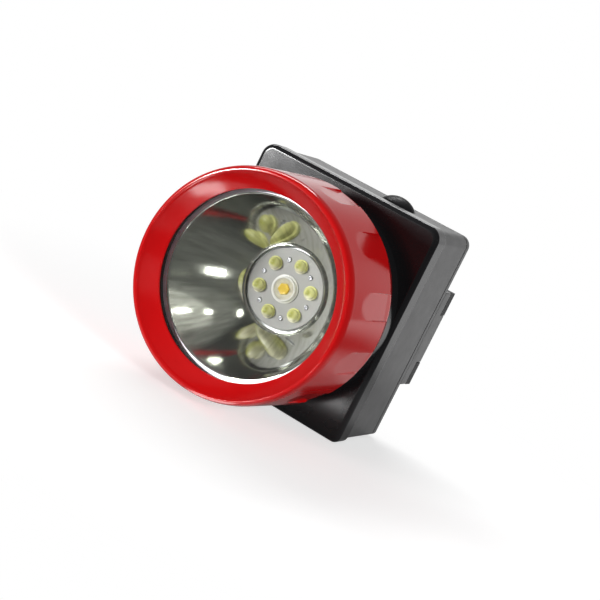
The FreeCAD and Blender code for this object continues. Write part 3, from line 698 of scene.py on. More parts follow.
class GeometryTree(Tree):
    """A geometry tree with named inputs, applied to an object as a plain mesh."""

    def __init__(self, name: str) -> None:
        """Create the group with a geometry input and output.

        Args:
            name: The group's name.
        """
        super().__init__(bpy.data.node_groups.new(name, "GeometryNodeTree"))
        for way in ("INPUT", "OUTPUT"):
            self.tree.interface.new_socket("Geometry", in_out=way, socket_type="NodeSocketGeometry")
        self.start = self.node("NodeGroupInput")
        self.identifiers: dict[str, str] = {}

    def given(self, name: str, kind: str = "NodeSocketFloat") -> Sock:
        """Add a named input.

        Args:
            name: The input's name.
            kind: Its socket type.

        Returns:
            Its value inside the tree.
        """
        socket = self.tree.interface.new_socket(name, in_out="INPUT", socket_type=kind)
        self.identifiers[name] = socket.identifier
        return Sock(self, self.start.outputs[name])

    def close(self, geometry: Sock, finish: str) -> None:
        """Realize the instances, set the material and link the output.

        Args:
            geometry: What the tree makes.
            finish: Name of its finish.
        """
        real = self.sock("GeometryNodeRealizeInstances", inputs={"Geometry": geometry})
        dressed = self.sock("GeometryNodeSetMaterial", inputs={"Geometry": real, "Material": Finishes.get(finish)})
        self.node("NodeGroupOutput", inputs={"Geometry": dressed})

    def close_copies(self, count: Sock | int, spot: Sock, finish: str) -> None:
        """Put a copy of the input Template at each point and close the tree.

        Args:
            count: Number of points.
            spot: Place of each point, which may read its index.
            finish: Name of the finish.
        """
        source = self.given("Template", "NodeSocketObject")
        points = self.sock("GeometryNodePoints", inputs={"Count": count, "Position": spot})
        shape = self.sock("GeometryNodeObjectInfo", inputs={"Object": source}, output="Geometry")
        self.close(self.sock("GeometryNodeInstanceOnPoints", inputs={"Points": points, "Instance": shape}), finish)

    def apply(self, item: bpy.types.Object, values: dict) -> None:
        """Run the tree on an object and keep the result as its plain mesh.

        Args:
            item: The object.
            values: The tree's inputs by name.
        """
        modifier = item.modifiers.new("shape", "NODES")
        modifier.node_group = self.tree
        for name, value in values.items():
            modifier[self.identifiers[name]] = value
        item.data = evaluated_mesh(item)
        item.modifiers.remove(modifier)

    def copies(self, name: str, template: bpy.types.Object, values: dict) -> bpy.types.Object:
        """Make the piece that holds every copy, and drop the template.

        Args:
            name: Name of the piece.
            template: Object in metres about its own origin.
            values: The tree's other inputs by name.

        Returns:
            The piece.
        """
        item = linked(name, bpy.data.meshes.new(name))
        self.apply(item, {**values, "Template": template})
        bpy.data.objects.remove(template)
        return item


def arc(start: Point, middle: Point, end: Point, steps: int) -> list[Point]:
    """Points along the circle through three points.

    Args:
        start: First point, which is left out of the result.
        middle: A point on the way.
        end: Last point.
        steps: Number of points.

    Returns:
        The points.
    """
    (ax, ay), (bx, by), (cx, cy) = start, middle, end
    d = 2 * (ax * (by - cy) + bx * (cy - ay) + cx * (ay - by))
    ux = ((ax**2 + ay**2) * (by - cy) + (bx**2 + by**2) * (cy - ay) + (cx**2 + cy**2) * (ay - by)) / d
    uy = ((ax**2 + ay**2) * (cx - bx) + (bx**2 + by**2) * (ax - cx) + (cx**2 + cy**2) * (bx - ax)) / d
    radius = math.hypot(ax - ux, ay - uy)
    first = math.atan2(ay - uy, ax - ux)
    sweep = (math.atan2(cy - uy, cx - ux) - first) % FULL_TURN
    if (math.atan2(by - uy, bx - ux) - first) % FULL_TURN > sweep:
        sweep -= FULL_TURN
    turns = [first + sweep * k / steps for k in range(1, steps + 1)]
    return [(ux + radius * math.cos(turn), uy + radius * math.sin(turn)) for turn in turns]


def ball_cap(radius: float, rise: float, foot: float, steps: int) -> list[Point]:
    """Profile of a ball's cap, from its edge to its top.

    Args:
        radius: Radius of the cap's edge.
        rise: Height of the cap.
        foot: Where its edge is, along the axis.
        steps: Number of steps.

    Returns:
        Points (radius, along).
    """
    ball = (radius**2 + rise**2) / (2 * rise)
    sweep = math.asin(radius / ball)
    turns = [sweep * k / steps for k in range(steps, -1, -1)]
    return [(ball * math.sin(turn), foot + rise - ball * (1 - math.cos(turn))) for turn in turns]


def soften(corners: Sequence[Corner], steps: int = 3, guard: float = 0.12) -> list[Point]:
    """Round the corners of a closed profile.

    Args:
        corners: (radius, along, rounding) of each corner in millimetres.
        steps: Segments in each rounded corner.
        guard: Distance of the extra point that keeps a flat next to a rounding flat.

    Returns:
        The profile's points.
    """
    points: list[Point] = []
    for k, (radius, along, rounding) in enumerate(corners):
        here = Vector((radius, along))
        if rounding <= 0:
            points.append((radius, along))
            continue
        back = Vector(corners[k - 1][:2]) - here
        ahead = Vector(corners[(k + 1) % len(corners)][:2]) - here
        half = back.angle(ahead) / 2
        trim = min(rounding / math.tan(half), 0.45 * back.length, 0.45 * ahead.length)
        rounding = trim * math.tan(half)
        start = here + back.normalized() * trim
        end = here + ahead.normalized() * trim
        centre = here + (back.normalized() + ahead.normalized()).normalized() * (rounding / math.sin(half))
        middle = centre + (here - centre).normalized() * rounding
        before = here + back.normalized() * min(trim + guard, 0.48 * back.length)
        after = here + ahead.normalized() * min(trim + guard, 0.48 * ahead.length)
        bend = arc(tuple(start), tuple(middle), tuple(end), steps)
        points += [tuple(before), tuple(start), *bend, tuple(after)]
    return points


@dataclass(frozen=True)
class Outline:
    """The case's rounded outline in a view of its front, in millimetres."""

    half_width: float
    height: float
    top_corner: float = 4.5
    bottom_corner: float = 2.4
    least_corner: float = 0.6
    steps: int = 10

    def ring(self, y: float, inset: float = 0.0) -> list[Vector]:
        """The outline at one depth.

        Args:
            y: The depth.
            inset: How far the outline is drawn in.

        Returns:
            Its points.
        """
        half = self.half_width - inset
        low, high = inset, self.height - inset
        foot = max(self.bottom_corner - inset, self.least_corner)
        top = max(self.top_corner - inset, self.least_corner)
        corners = ((half - foot, low + foot, foot, -90), (half - top, high - top, top, 0),
                   (-half + top, high - top, top, 90), (-half + foot, low + foot, foot, 180))
        points = []
        for x, z, radius, start in corners:
            for k in range(self.steps + 1):
                turn = math.radians(start + 90 * k / self.steps)
                points.append(Vector((x + radius * math.cos(turn), y, z + radius * math.sin(turn))))
        return points

    def swept(self, rows: Sequence[Point], loop: bool = False) -> Solid:
        """A tray from (inset, y) pairs, with flat caps, or a band from a closed loop of them."""
        return Solid.loft([self.ring(y, inset) for inset, y in rows], loop)

    @staticmethod
    def round_rows(inset: float, edge: float, radius: float, way: int, guard: float = 0.15) -> list[Point]:
        """Rows of a rounded edge, from the flat face to the side.

        Args:
            inset: Inset of the side.
            edge: Depth of the flat face.
            radius: Radius of the edge.
            way: 1 where the solid lies behind the face, -1 where it lies in front.
            guard: Distance of the extra rows that keep the flats flat.

        Returns:
            The rows as (inset, y).
        """
        turns = [math.radians(degrees) for degrees in range(0, 91, 10)]
        rows = [(radius - radius * math.sin(turn), radius - radius * math.cos(turn)) for turn in turns]
        rows = [(radius + guard, 0.0)] + rows + [(0.0, radius + guard)]
        return [(inset + aside, edge + way * deep) for aside, deep in rows]

    @staticmethod
    def ease_rows(ease: Iterable[Point], inset: float, edge: float, way: int) -> list[Point]:
        """Rows of an eased edge, on a side's inset and a face's depth."""
        return [(inset + aside, edge + way * deep) for aside, deep in ease]


@dataclass(frozen=True)
class LampFrame:
    """Places of the lamp, in millimetres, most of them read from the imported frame."""

    face_y: float
    axis_z: float
    half_width: float
    height: float
    body_y: float
    back_y: float
    plate_y: float
    wall_inset: float = 0.8
    button_x: float = 9.7
    socket_drop: float = 15.0
    socket_recess: float = 1.0

    @classmethod
    def read(cls) -> "LampFrame":
        """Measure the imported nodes.

        Returns:
            The lamp's places.
        """
        cover, body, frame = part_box("front_cover"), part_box("case_body"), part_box("strap_frame")
        return cls(
            face_y=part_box("heat_sink")[1].y / MM,
            axis_z=(frame[0].z + frame[1].z) / 2 / MM,
            half_width=cover[1].x / MM,
            height=cover[1].z / MM,
            body_y=body[0].y / MM,
            back_y=body[1].y / MM,
            plate_y=frame[0].y / MM,
        )

    @property
    def outline(self) -> Outline:
        """The front cover's outline."""
        return Outline(self.half_width, self.height)

    @property
    def wall_top(self) -> float:
        """Height of the case walls' upper face."""
        return self.height - self.wall_inset

    @property
    def wall_side(self) -> float:
        """Distance of the case walls' side faces from the middle."""
        return self.half_width - self.wall_inset

    @property
    def middle_y(self) -> float:
        """Depth of the middle of the case walls, where the button and the socket are."""
        return (self.body_y + self.back_y) / 2

    @property
    def socket_z(self) -> float:
        """Height of the charging socket."""
        return self.height - self.socket_drop

    def on_axis(self, radius: float, reach: float, angle: float) -> Vector:
        """A point round the lamp's axis."""
        return Vector((radius * math.cos(angle), self.face_y - reach, self.axis_z + radius * math.sin(angle)))

    def turned(self, corners: Sequence[Corner], angles: Sequence[float] | int, steps: int = 3) -> Solid:
        """A solid turned about the lamp's axis from the (radius, reach, rounding) of its corners."""
        return Solid.turned(soften(corners, steps), self.on_axis, angles)


@dataclass
class SubAssembly:
    """A group of pieces that are built, dressed and hung on the frame together."""

    lamp: LampFrame

    def hang(self, item: bpy.types.Object, body: str, slot: str, *nodes: str) -> None:
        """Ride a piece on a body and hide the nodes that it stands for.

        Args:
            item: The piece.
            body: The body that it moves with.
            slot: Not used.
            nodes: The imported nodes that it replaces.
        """
        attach(item, body)
        if nodes:
            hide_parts(*nodes)
        LOG.info("%s: %d faces, on %s", item.name, len(item.data.polygons), body)


@dataclass
class Bezel(SubAssembly):
    """Red ring that screws on the barrel, with finger scoops round its rear half."""

    bore: float = 32.4
    rear_reach: float = 11.0
    front_reach: float = 48.19
    rear_radius: float = 35.0
    grip_radius: float = 36.3
    front_radius: float = 35.75
    ridge_radius: float = 34.2
    inner_radius: float = 29.1
    flare: float = 5.0
    edge_round: float = 4.2
    edge_fullness: float = 2.6
    edge_steps: int = 16
    cone_sag: float = 0.05
    lip_reach: float = 42.3
    lip: float = 0.4
    lens_bore: float = 31.5
    seat_reach: float = 37.8
    scoops: int = 12
    scoop_phase: float = 18.0
    scoop_depth: float = 0.5
    scoop_half_angle: float = 6.65
    scoop_length: float = 27.0
    least_wall: float = 0.8
    mesh_gap: float = 0.55
    crease: float = 40.0

    @property
    def side_front(self) -> float:
        """Reach at which the straight side ends and the rounded edge begins."""
        return self.front_reach - self.edge_round

    def angles(self) -> list[float]:
        """Angles of the mesh, close together at the scoops' edges.

        Returns:
            The angles in radians.
        """
        offsets = [0, 1.4, 2.8, 4.2, 5.4, 6.1, 6.5, 6.8, 7.05, 7.3, 7.6, 8.1, 9.0, 10.5, 12.0, 13.5]
        step = 360 / self.scoops
        sector = sorted({sign * offset for offset in offsets for sign in (-1, 1)} | {step / 2})
        starts = [self.scoop_phase + k * step for k in range(self.scoops)]
        return [math.radians(start + offset) for start in starts for offset in sector]

    def profile(self) -> list[Point]:
        """Closed profile of the plain ring.

        Returns:
            Points (radius, reach).
        """
        rear = soften([
            (self.bore, self.rear_reach, 0.3), (self.rear_radius, self.rear_reach, 0.35),
            (self.grip_radius, self.rear_reach + self.flare, 0.25), (self.front_radius, self.side_front, 0.0),
            (self.bore, self.side_front, 0.0)], 5)[:-2]
        side = self.filled(rear[2:] + [(self.front_radius, self.side_front)])
        edge = [self.edge_point(k / self.edge_steps) for k in range(1, self.edge_steps + 1)]
        width, depth = self.ridge_radius - self.inner_radius, self.front_reach - self.lip_reach
        brow = [(self.ridge_radius - 0.02, self.front_reach),
                (self.ridge_radius - width * 0.05, self.front_reach - depth * 0.02)]
        cone = [(self.ridge_radius - width * share,
                 self.front_reach - depth * (share + self.cone_sag * math.sin(math.pi * share)))
                for share in (0.12, 0.2, 0.3, 0.4, 0.5, 0.6, 0.7, 0.8, 0.9, 0.97)]
        mouth = [(self.inner_radius + 0.15, self.lip_reach - 0.02), (self.inner_radius, self.lip_reach - 0.15)]
        under = self.lip_reach - self.lip
        inside = [(self.inner_radius, under), (self.lens_bore, under),
                  (self.lens_bore, self.seat_reach + self.bore - self.lens_bore), (self.bore, self.seat_reach)]
        return rear[:2] + side + edge + brow + cone + mouth + inside

    def edge_point(self, share: float) -> Point:
        """A point on the rounded outer edge.

        Args:
            share: 0 at the side, 1 at the ridge.

        Returns:
            Its radius and reach.
        """
        turn = share * math.pi / 2
        out = math.cos(turn) ** (2 / self.edge_fullness) * (self.front_radius - self.ridge_radius)
        ahead = math.sin(turn) ** (2 / self.edge_fullness) * self.edge_round
        return (self.ridge_radius + out, self.side_front + ahead)

    def filled(self, points: Sequence[Point]) -> list[Point]:
        """Add points so that none are further apart than the mesh's gap.

        Args:
            points: The points of a line.

        Returns:
            The points with the added ones.
        """
        result = [points[0]]
        for (r0, y0), (r1, y1) in zip(points, points[1:]):
            parts = max(1, math.ceil(math.dist((r0, y0), (r1, y1)) / self.mesh_gap))
            result += [(r0 + (r1 - r0) * k / parts, y0 + (y1 - y0) * k / parts) for k in range(1, parts + 1)]
        return result

    def scoop_tree(self) -> GeometryTree:
        """Tree that draws the ring's side in to flat pockets that deepen to the rear.

        Returns:
            The tree.
        """
        tree = GeometryTree("finger_scoops")
        axis_z, face_y, count, phase, half, side, end, start, depth, least = (tree.given(name) for name in (
            "Axis Height", "Face Depth", "Scoops", "First Angle", "Scoop Half Angle", "Side Radius", "Scoop End",
            "Scoop Start", "Scoop Depth", "Least Radius"))
        x, y, z = tree.split(tree.sock("GeometryNodeInputPosition"))
        up = z - axis_z
        radius = x.hypot(up)
        pitch = FULL_TURN / count
        turn = up.math("ARCTAN2", x) - phase + pitch * 0.5
        local = turn.math("FLOORED_MODULO", pitch) - pitch * 0.5
        reach = face_y - y
        share = ((end - reach) / (end - start)).math("MAXIMUM", 0.0).math("MINIMUM", 1.0)
        floor = (side - depth * share) / local.math("COSINE")
        inside = local.math("ABSOLUTE").math("LESS_THAN", half) * reach.math("LESS_THAN", end)
        drop = (radius - floor).math("MAXIMUM", 0.0) * inside * radius.math("GREATER_THAN", least)
        drawing = -drop / radius
        shift = tree.sock("ShaderNodeCombineXYZ", inputs={0: x * drawing, 2: up * drawing})
        ring = Sock(tree, tree.start.outputs["Geometry"])
        tree.close(tree.sock("GeometryNodeSetPosition", inputs={"Geometry": ring, "Offset": shift}), "red")
        return tree

    def build(self) -> None:
        """Make the ring and hang it."""
        item = Solid.turned(self.profile(), self.lamp.on_axis, self.angles()).piece("bezel", "red")
        start = self.rear_reach + self.flare
        end = self.rear_reach + self.scoop_length
        taper = (self.grip_radius - self.front_radius) / (self.side_front - start)
        self.scoop_tree().apply(item, {
            "Axis Height": self.lamp.axis_z * MM,
            "Face Depth": self.lamp.face_y * MM,
            "Scoops": float(self.scoops),
            "First Angle": math.radians(self.scoop_phase),
            "Scoop Half Angle": math.radians(self.scoop_half_angle),
            "Side Radius": (self.grip_radius - taper * (end - start)) * MM,
            "Scoop End": end * MM,
            "Scoop Start": start * MM,
            "Scoop Depth": self.scoop_depth * MM,
            "Least Radius": (self.bore + self.least_wall) * MM,
        })
        item.data.set_sharp_from_angle(angle=math.radians(self.crease))
        self.hang(item, "bezel", "bezel_red", "bezel_ring")


@dataclass
class LampGlass(SubAssembly):
    """Clear lens and the rubber ring behind it."""

    radius: float = 31.2
    rear_reach: float = 39.84
    front_reach: float = 41.84
    gasket_inner: float = 29.5
    gasket_outer: float = 30.9
    gasket_reach: float = 39.02
    gasket_thickness: float = 0.8
    gasket_round: float = 0.2

    def build(self) -> None:
        """Make both pieces and hang them."""
        rear, front = self.rear_reach, self.front_reach
        corners = [(0, rear, 0), (self.radius, rear, 0.15), (self.radius, front, 0.3), (0, front, 0)]
        disc = self.lamp.turned(corners, 160, 5)
        self.hang(disc.piece("front_lens", "lens"), "lens_pack", "lens_clear", "lens")
        near, far = self.gasket_reach, self.gasket_reach + self.gasket_thickness
        inner, outer = self.gasket_inner, self.gasket_outer
        places = ((inner, near), (outer, near), (outer, far), (inner, far))
        ring = self.lamp.turned([(*place, self.gasket_round) for place in places], 120)
        self.hang(ring.piece("lens_ring", "rubber"), "lens_pack", "rubber_black", "lens_gasket")


@dataclass
class Reflector(SubAssembly):
    """Plated bowl with a flange in front and a rounded rim round the light board."""

    mouth_reach: float = 39.0
    mouth_radius: float = 27.9
    throat_reach: float = 13.4
    throat_radius: float = 14.3
    rim: float = 0.7
    lip: float = 2.2
    wall: float = 1.2
    brink: float = 0.3
    flange_radius: float = 31.2
    flange_thickness: float = 1.5
    steps: int = 56

    def bowl(self, reach: float) -> float:
        """Radius of the bowl, a parabola, at a reach."""
        rate = (self.mouth_radius**2 - self.throat_radius**2) / (self.mouth_reach - self.throat_reach)
        return math.sqrt(self.throat_radius**2 + rate * (reach - self.throat_reach))

    def profile(self) -> list[Point]:
        """Closed profile of the bowl.

        Returns:
            Points (radius, reach).
        """
        throat, mouth = self.throat_reach, self.mouth_reach
        reaches = [throat + (mouth - throat) * k / self.steps for k in range(self.steps + 1)]
        inner = [(self.bowl(reach), reach) for reach in reaches[1:-1]]
        lip_bore = self.throat_radius - self.rim
        rim_top = (lip_bore + self.rim / 2, throat + self.rim / 2)
        rim = arc((lip_bore, throat), rim_top, (self.throat_radius, throat), 10)
        edge = self.mouth_radius + self.brink
        brink = arc((self.bowl(mouth - self.brink), mouth - self.brink), (self.mouth_radius + 0.03, mouth - 0.08),
                    (edge, mouth), 4)
        back = mouth - self.flange_thickness
        flange = soften([(edge, mouth, 0), (self.flange_radius, mouth, 0.2), (self.flange_radius, back, 0.2),
                         (self.bowl(back) + self.wall, back, 0)])[1:]
        outer = [(self.bowl(reach) + self.wall, reach) for reach in reversed(reaches) if reach < back - self.brink]
        heel = throat - self.lip
        foot = [(self.throat_radius + self.wall, heel), (lip_bore, heel), (lip_bore, throat)]
        return inner + brink + flange + outer + foot + rim

    def build(self) -> None:
        """Make the bowl and hang it."""
        bowl = Solid.turned(self.profile(), self.lamp.on_axis, 192)
        self.hang(bowl.piece("mirror_bowl", "mirror", 50), "case", "reflector_mirror", "reflector")


@dataclass
class LightBoard(SubAssembly):
    """Round board with the main light, its dome, six small lights and solder spots."""

    radius: float = 13.0
    front_reach: float = 12.8
    thickness: float = 1.6
    hole_radius: float = 0.85
    hole_place: float = 9.4
    hole_angle: float = 108.6
    circle: float = 8.9
    phase: float = 18.6
    count: int = 6
    small_flange: float = 2.3
    small_radius: float = 1.85
    small_height: float = 1.7
    small_rise: float = 1.3
    small_foot: float = 0.6
    small_step: float = 0.15
    main_radius: float = 4.6
    main_height: float = 1.4
    main_step: float = 0.5
    cup_gap: float = 0.1
    cup_wall: float = 0.45
    cup_depth: float = 0.6
    dome_radius: float = 3.4
    dome_rise: float = 2.4
    dome_root: float = 0.05
    die_radius: float = 1.5
    die_angle: float = 22.0
    spot_circle: float = 9.3
    spot_radius: float = 0.9
    spot_height: float = 0.35
    spot_sunk: float = 0.02

    def build(self) -> None:
        """Make every piece of the board and hang it."""
        self.build_board()
        self.build_main_light()
        self.build_small_lights()

    def build_board(self) -> None:
        """Make the board with its wire hole, and the solder spots between the small lights."""
        rear, front = self.front_reach - self.thickness, self.front_reach
        corners = [(0, rear, 0), (self.radius, rear, 0.1), (self.radius, front, 0.15), (0, front, 0)]
        board = self.lamp.turned(corners, 128)
        turn = math.radians(self.hole_angle)
        middle = Axis.Y.at(self.hole_place * math.cos(turn), self.lamp.axis_z + self.hole_place * math.sin(turn))
        ends = (self.lamp.face_y - front - OVERRUN, self.lamp.face_y - rear + OVERRUN)
        hole = Solid.bar(middle, self.hole_radius, ends)
        self.hang(board.cut(hole).piece("light_board", "board"), "case", "board_pale", "led_board")
        r, h = self.spot_radius, self.spot_height
        dot = [(0, 0, 0), (r, 0, 0), (r * 0.72, h, 0.15), (r * 0.45, h, 0.1), (r * 0.3, h * 0.4, 0),
               (0, h * 0.4, 0)]
        template = self.template("solder_template", soften(dot), "solder", 20)
        spots = self.ring("solder_spots", template, "solder", (self.spot_circle, self.phase + 180 / self.count),
                          self.front_reach - self.spot_sunk)
        self.hang(spots, "case", "screw_steel")

    def template(self, name: str, profile: Sequence[Point], finish: str, count: int) -> bpy.types.Object:
        """A small turned shape that stands on its own foot and faces -Y.

        Args:
            name: Its name.
            profile: Points (radius, height above the foot).
            finish: Name of its finish.
            count: Faces round it.

        Returns:
            The object, with the attribute own_place that keeps each point's own place in millimetres.
        """
        shape = Solid.turned([(radius, -height) for radius, height in profile], Axis.Y.at(0, 0), count)
        own = shape.mesh.attributes.new("own_place", "FLOAT_VECTOR", "POINT")
        own.data.foreach_set("vector", [c for v in shape.mesh.vertices for c in v.co])
        return shape.piece(name, finish)

    def ring(self, name: str, template: bpy.types.Object, finish: str, polar: Point,
             reach: float) -> bpy.types.Object:
        """Repeat a template round the lamp's axis, once for each small light.

        Args:
            name: Name of the new piece.
            template: Object in metres, about its own origin, facing -Y.
            finish: Name of the finish.
            polar: Radius of the circle in millimetres and angle of the first copy in degrees.
            reach: Reach of the template's foot in millimetres.

        Returns:
            The piece, one mesh of all copies.
        """
        tree = GeometryTree(name + "_copies")
        copies = tree.given("Copies", "NodeSocketInt")
        circle, first, depth, height = (
            tree.given(label) for label in ("Circle Radius", "First Angle", "Depth", "Axis Height"))
        angle = tree.sock("GeometryNodeInputIndex") / copies * FULL_TURN + first
        x, z = angle.math("COSINE") * circle, angle.math("SINE") * circle + height
        tree.close_copies(copies, tree.sock("ShaderNodeCombineXYZ", inputs={0: x, 1: depth, 2: z}), finish)
        return tree.copies(name, template, {
            "Copies": self.count, "Circle Radius": polar[0] * MM, "First Angle": math.radians(polar[1]),
            "Depth": (self.lamp.face_y - reach) * MM, "Axis Height": self.lamp.axis_z * MM})

    def build_small_lights(self) -> None:
        """Make the six small domed lights and hang them."""
        shoulder = self.small_height
        foot = soften([
            (0, 0, 0), (self.small_flange, 0, 0.05), (self.small_flange, self.small_foot, 0.15),
            (self.small_radius, self.small_foot + self.small_step, 0.1), (self.small_radius, shoulder - 0.05, 0),
            (0, shoulder, 0)])
        profile = foot[:-1] + ball_cap(self.small_radius, self.small_rise, shoulder, 12)
        template = self.template("light_template", profile, "phosphor", 40)
        lights = self.ring("small_lights", template, "phosphor", (self.circle, self.phase), self.front_reach)
        self.hang(lights, "case", "led_yellow", "aux_leds")

    def build_main_light(self) -> None:
        """Make the main light's stepped body, its die and its clear dome and hang them."""
        foot, cup = self.front_reach, self.dome_radius + self.cup_gap
        top, step = foot + self.main_height, foot + self.main_step
        floor, brim = top - self.cup_depth, cup + self.cup_wall
        body = self.lamp.turned([
            (0, foot, 0), (self.main_radius, foot, 0.1), (self.main_radius, step, 0.15),
            (brim + 0.1, step + 0.05, 0.1), (brim, top, 0.15), (cup, top, 0.1), (cup - 0.5, floor, 0.1),
            (0, floor, 0)], 96)
        self.hang(body.piece("main_light", "white"), "case", "led_white", "main_led")
        die = self.die_radius
        corners = [(0, floor + 0.01, 0), (die, floor + 0.01, 0), (die, top - 0.3, 0.05),
                   (die * 0.7, top - 0.15, 0.1), (0, top - 0.1, 0)]
        sides = [math.radians(self.die_angle) + angle for angle in even_angles(6)]
        chip = self.lamp.turned(corners, sides, 2)
        self.hang(chip.piece("main_light_die", "die"), "case", "led_yellow")
        root = top - self.dome_root
        profile = [(0, root), (self.dome_radius, root)] + ball_cap(self.dome_radius, self.dome_rise, top, 24)
        dome = Solid.turned(profile, self.lamp.on_axis, 96)
        self.hang(dome.piece("main_light_dome", "dome"), "case", "led_dome", "main_led_dome")


@dataclass
class FrontCover(SubAssembly):
    """Glossy cover: a shallow tray with a rounded front edge, and the lamp barrel."""

    edge_round: float = 1.6
    skirt_wall: float = 3.0
    front_wall: float = 2.4
    barrel_radius: float = 31.7
    barrel_wall: float = 2.0
    barrel_reach: float = 37.5
    collar_radius: float = 33.2
    collar_reach: float = 9.4
    thread_crest: float = 32.05
    thread_start: float = 12.0
    thread_pitch: float = 3.0
    thread_turns: float = 3.5
    thread_steps: int = 90
    thread_run_out: int = 20
    ridge_root: float = 0.2
    ridge_low: float = 0.1
    ridge_foot: float = 0.75
    ridge_top: float = 0.3

    def tray(self) -> Solid:
        """The tray, from the middle of its front round its skirt to its inside.

        Returns:
            The solid.
        """
        front, rear, wall = self.lamp.face_y, self.lamp.body_y, self.skirt_wall
        rows = Outline.round_rows(0.0, front, self.edge_round, 1)
        rows += Outline.ease_rows(COVER_EASE, 0.0, rear, -1)
        rows += [(wall - 0.1, rear), (wall, rear - 0.1), (wall, front + self.front_wall)]
        return self.lamp.outline.swept(rows)

    def barrel(self) -> Solid:
        """The lamp barrel with its collar, rooted in the front wall.

        Returns:
            The solid.
        """
        root = -self.front_wall / 2
        bore = self.barrel_radius - self.barrel_wall
        return self.lamp.turned([
            (bore, root, 0), (self.collar_radius, root, 0), (self.collar_radius, self.collar_reach, 0.4),
            (self.barrel_radius, self.collar_reach, 0.3), (self.barrel_radius, self.barrel_reach, 0.3),
            (bore, self.barrel_reach, 0.3)], 160, 4)

    def thread(self) -> Solid:
        """The barrel's right hand thread, a ridge that winds round it and runs out at both ends.

        Returns:
            The solid.
        """
        count = round(self.thread_turns * self.thread_steps)
        root, low = self.barrel_radius - self.ridge_root, self.barrel_radius - self.ridge_low
        rings = []
        for k in range(count + 1):
            turns = self.thread_turns * k / count
            reach = self.thread_start + self.thread_pitch * turns
            full = min(1.0, min(k, count - k) / self.thread_run_out + 0.02)
            crest = low + (self.thread_crest - low) * full
            section = ((root, -self.ridge_foot), (crest, -self.ridge_top), (crest, self.ridge_top),
                       (root, self.ridge_foot))
            rings.append([self.lamp.on_axis(radius, reach + step, turns * FULL_TURN) for radius, step in section])
        return Solid.loft(rings)

    def build(self) -> None:
        """Make the cover and its thread and hang them."""
        cover = self.tray().join(self.barrel())
        self.hang(cover.piece("cover", "cover"), "case", "cover_black", "front_cover")
        self.hang(self.thread().piece("barrel_thread", "cover"), "case", "cover_black")


def flap_shape(x: Point, y: float, z: float, width: float, height: float, corner: float) -> Solid:
    """An upright plate across X with its two lower corners rounded.

    Args:
        x: Its two faces.
        y: Its middle in depth.
        z: Its middle in height.
        width: Its width.
        height: Its height.
        corner: Radius of its lower corners.

    Returns:
        The solid.
    """
    half, low, steps = width / 2, z - height / 2, 8
    points = [(y + half, z + height / 2), (y - half, z + height / 2)]
    for centre, start in ((y - half + corner, 180), (y + half - corner, 270)):
        turns = [math.radians(start + 90 * k / steps) for k in range(steps + 1)]
        points += [(centre + corner * math.cos(turn), low + corner + corner * math.sin(turn)) for turn in turns]
    return Solid.loft([[Vector((depth, a, b)) for a, b in points] for depth in x])


@dataclass
class CaseBody(SubAssembly):
    """Satin walls of the box, with the button's well and the charging recess."""

    wall: float = 2.2
    boss_radius: float = 7.4
    boss_depth: float = 4.4
    boss_cover: float = 0.6
    well_radius: float = 6.0
    well_depth: float = 1.2
    well_flare: float = 0.25
    bore_radius: float = 2.05
    bore_depth: float = 6.0
    flap_width: float = 12.0
    flap_height: float = 14.0
    flap_corner: float = 2.5
    pad: float = 1.2
    pad_sunk: float = 0.5
    pad_half_width: float = 7.0
    pad_half_height: float = 8.0
    hole_radius: float = 4.1
    hole_depth: float = 5.0

    def band(self) -> Solid:
        """The plain walls with both edges eased.

        Returns:
            The solid.
        """
        side, front, rear = self.lamp.wall_inset, self.lamp.body_y, self.lamp.back_y
        rows = Outline.ease_rows(BODY_EASE, side, front, 1) + Outline.ease_rows(SEAM_EASE, side, rear, -1)
        inner = side + self.wall
        return self.lamp.outline.swept([(inner, front)] + rows + [(inner, rear)], loop=True)

    def button_tools(self) -> tuple[Solid, Solid, Solid]:
        """Solids that shape the button's place.

        Returns:
            The boss, and the cutters of the well and the bore.
        """
        top, wide, place = self.lamp.wall_top, self.well_radius, Axis.Z.at(self.lamp.button_x, self.lamp.middle_y)
        boss = Solid.bar(place, self.boss_radius, (top - self.boss_depth, top - self.boss_cover), 64)
        over = top + OVERRUN
        corners = [(0, top - self.well_depth, 0), (wide, top - self.well_depth, 0.2),
                   (wide, top - self.well_flare, 0), (wide + self.well_flare, top, 0),
                   (wide + 2 * OVERRUN, over, 0), (0, over, 0)]
        well = Solid.turned(soften(corners), place, 96)
        return boss, well, Solid.bar(place, self.bore_radius, (top - self.bore_depth, top))

    def socket_tools(self) -> tuple[Solid, Solid, Solid]:
        """Solids that shape the charging socket's place.

        Returns:
            The pad inside the wall, and the cutters of the recess and the hole.
        """
        side, y, z = -self.lamp.wall_side, self.lamp.middle_y, self.lamp.socket_z
        wide, high = self.pad_half_width, self.pad_half_height
        pad = Solid.block((side + self.pad_sunk, side + self.wall + self.pad), (y - wide, y + wide),
                          (z - high, z + high))
        outside = side - OVERRUN
        recess = flap_shape((outside, side + self.lamp.socket_recess), y, z, self.flap_width, self.flap_height,
                            self.flap_corner)
        return pad, recess, Solid.bar(Axis.X.at(y, z), self.hole_radius, (outside, side + self.hole_depth), 64)

    def build(self) -> None:
        """Make the walls and hang them."""
        boss, well, bore = self.button_tools()
        pad, recess, hole = self.socket_tools()
        walls = self.band().join(boss, pad).cut(well, bore, recess, hole)
        self.hang(walls.piece("case_walls", "body"), "case", "body_black", "case_body")


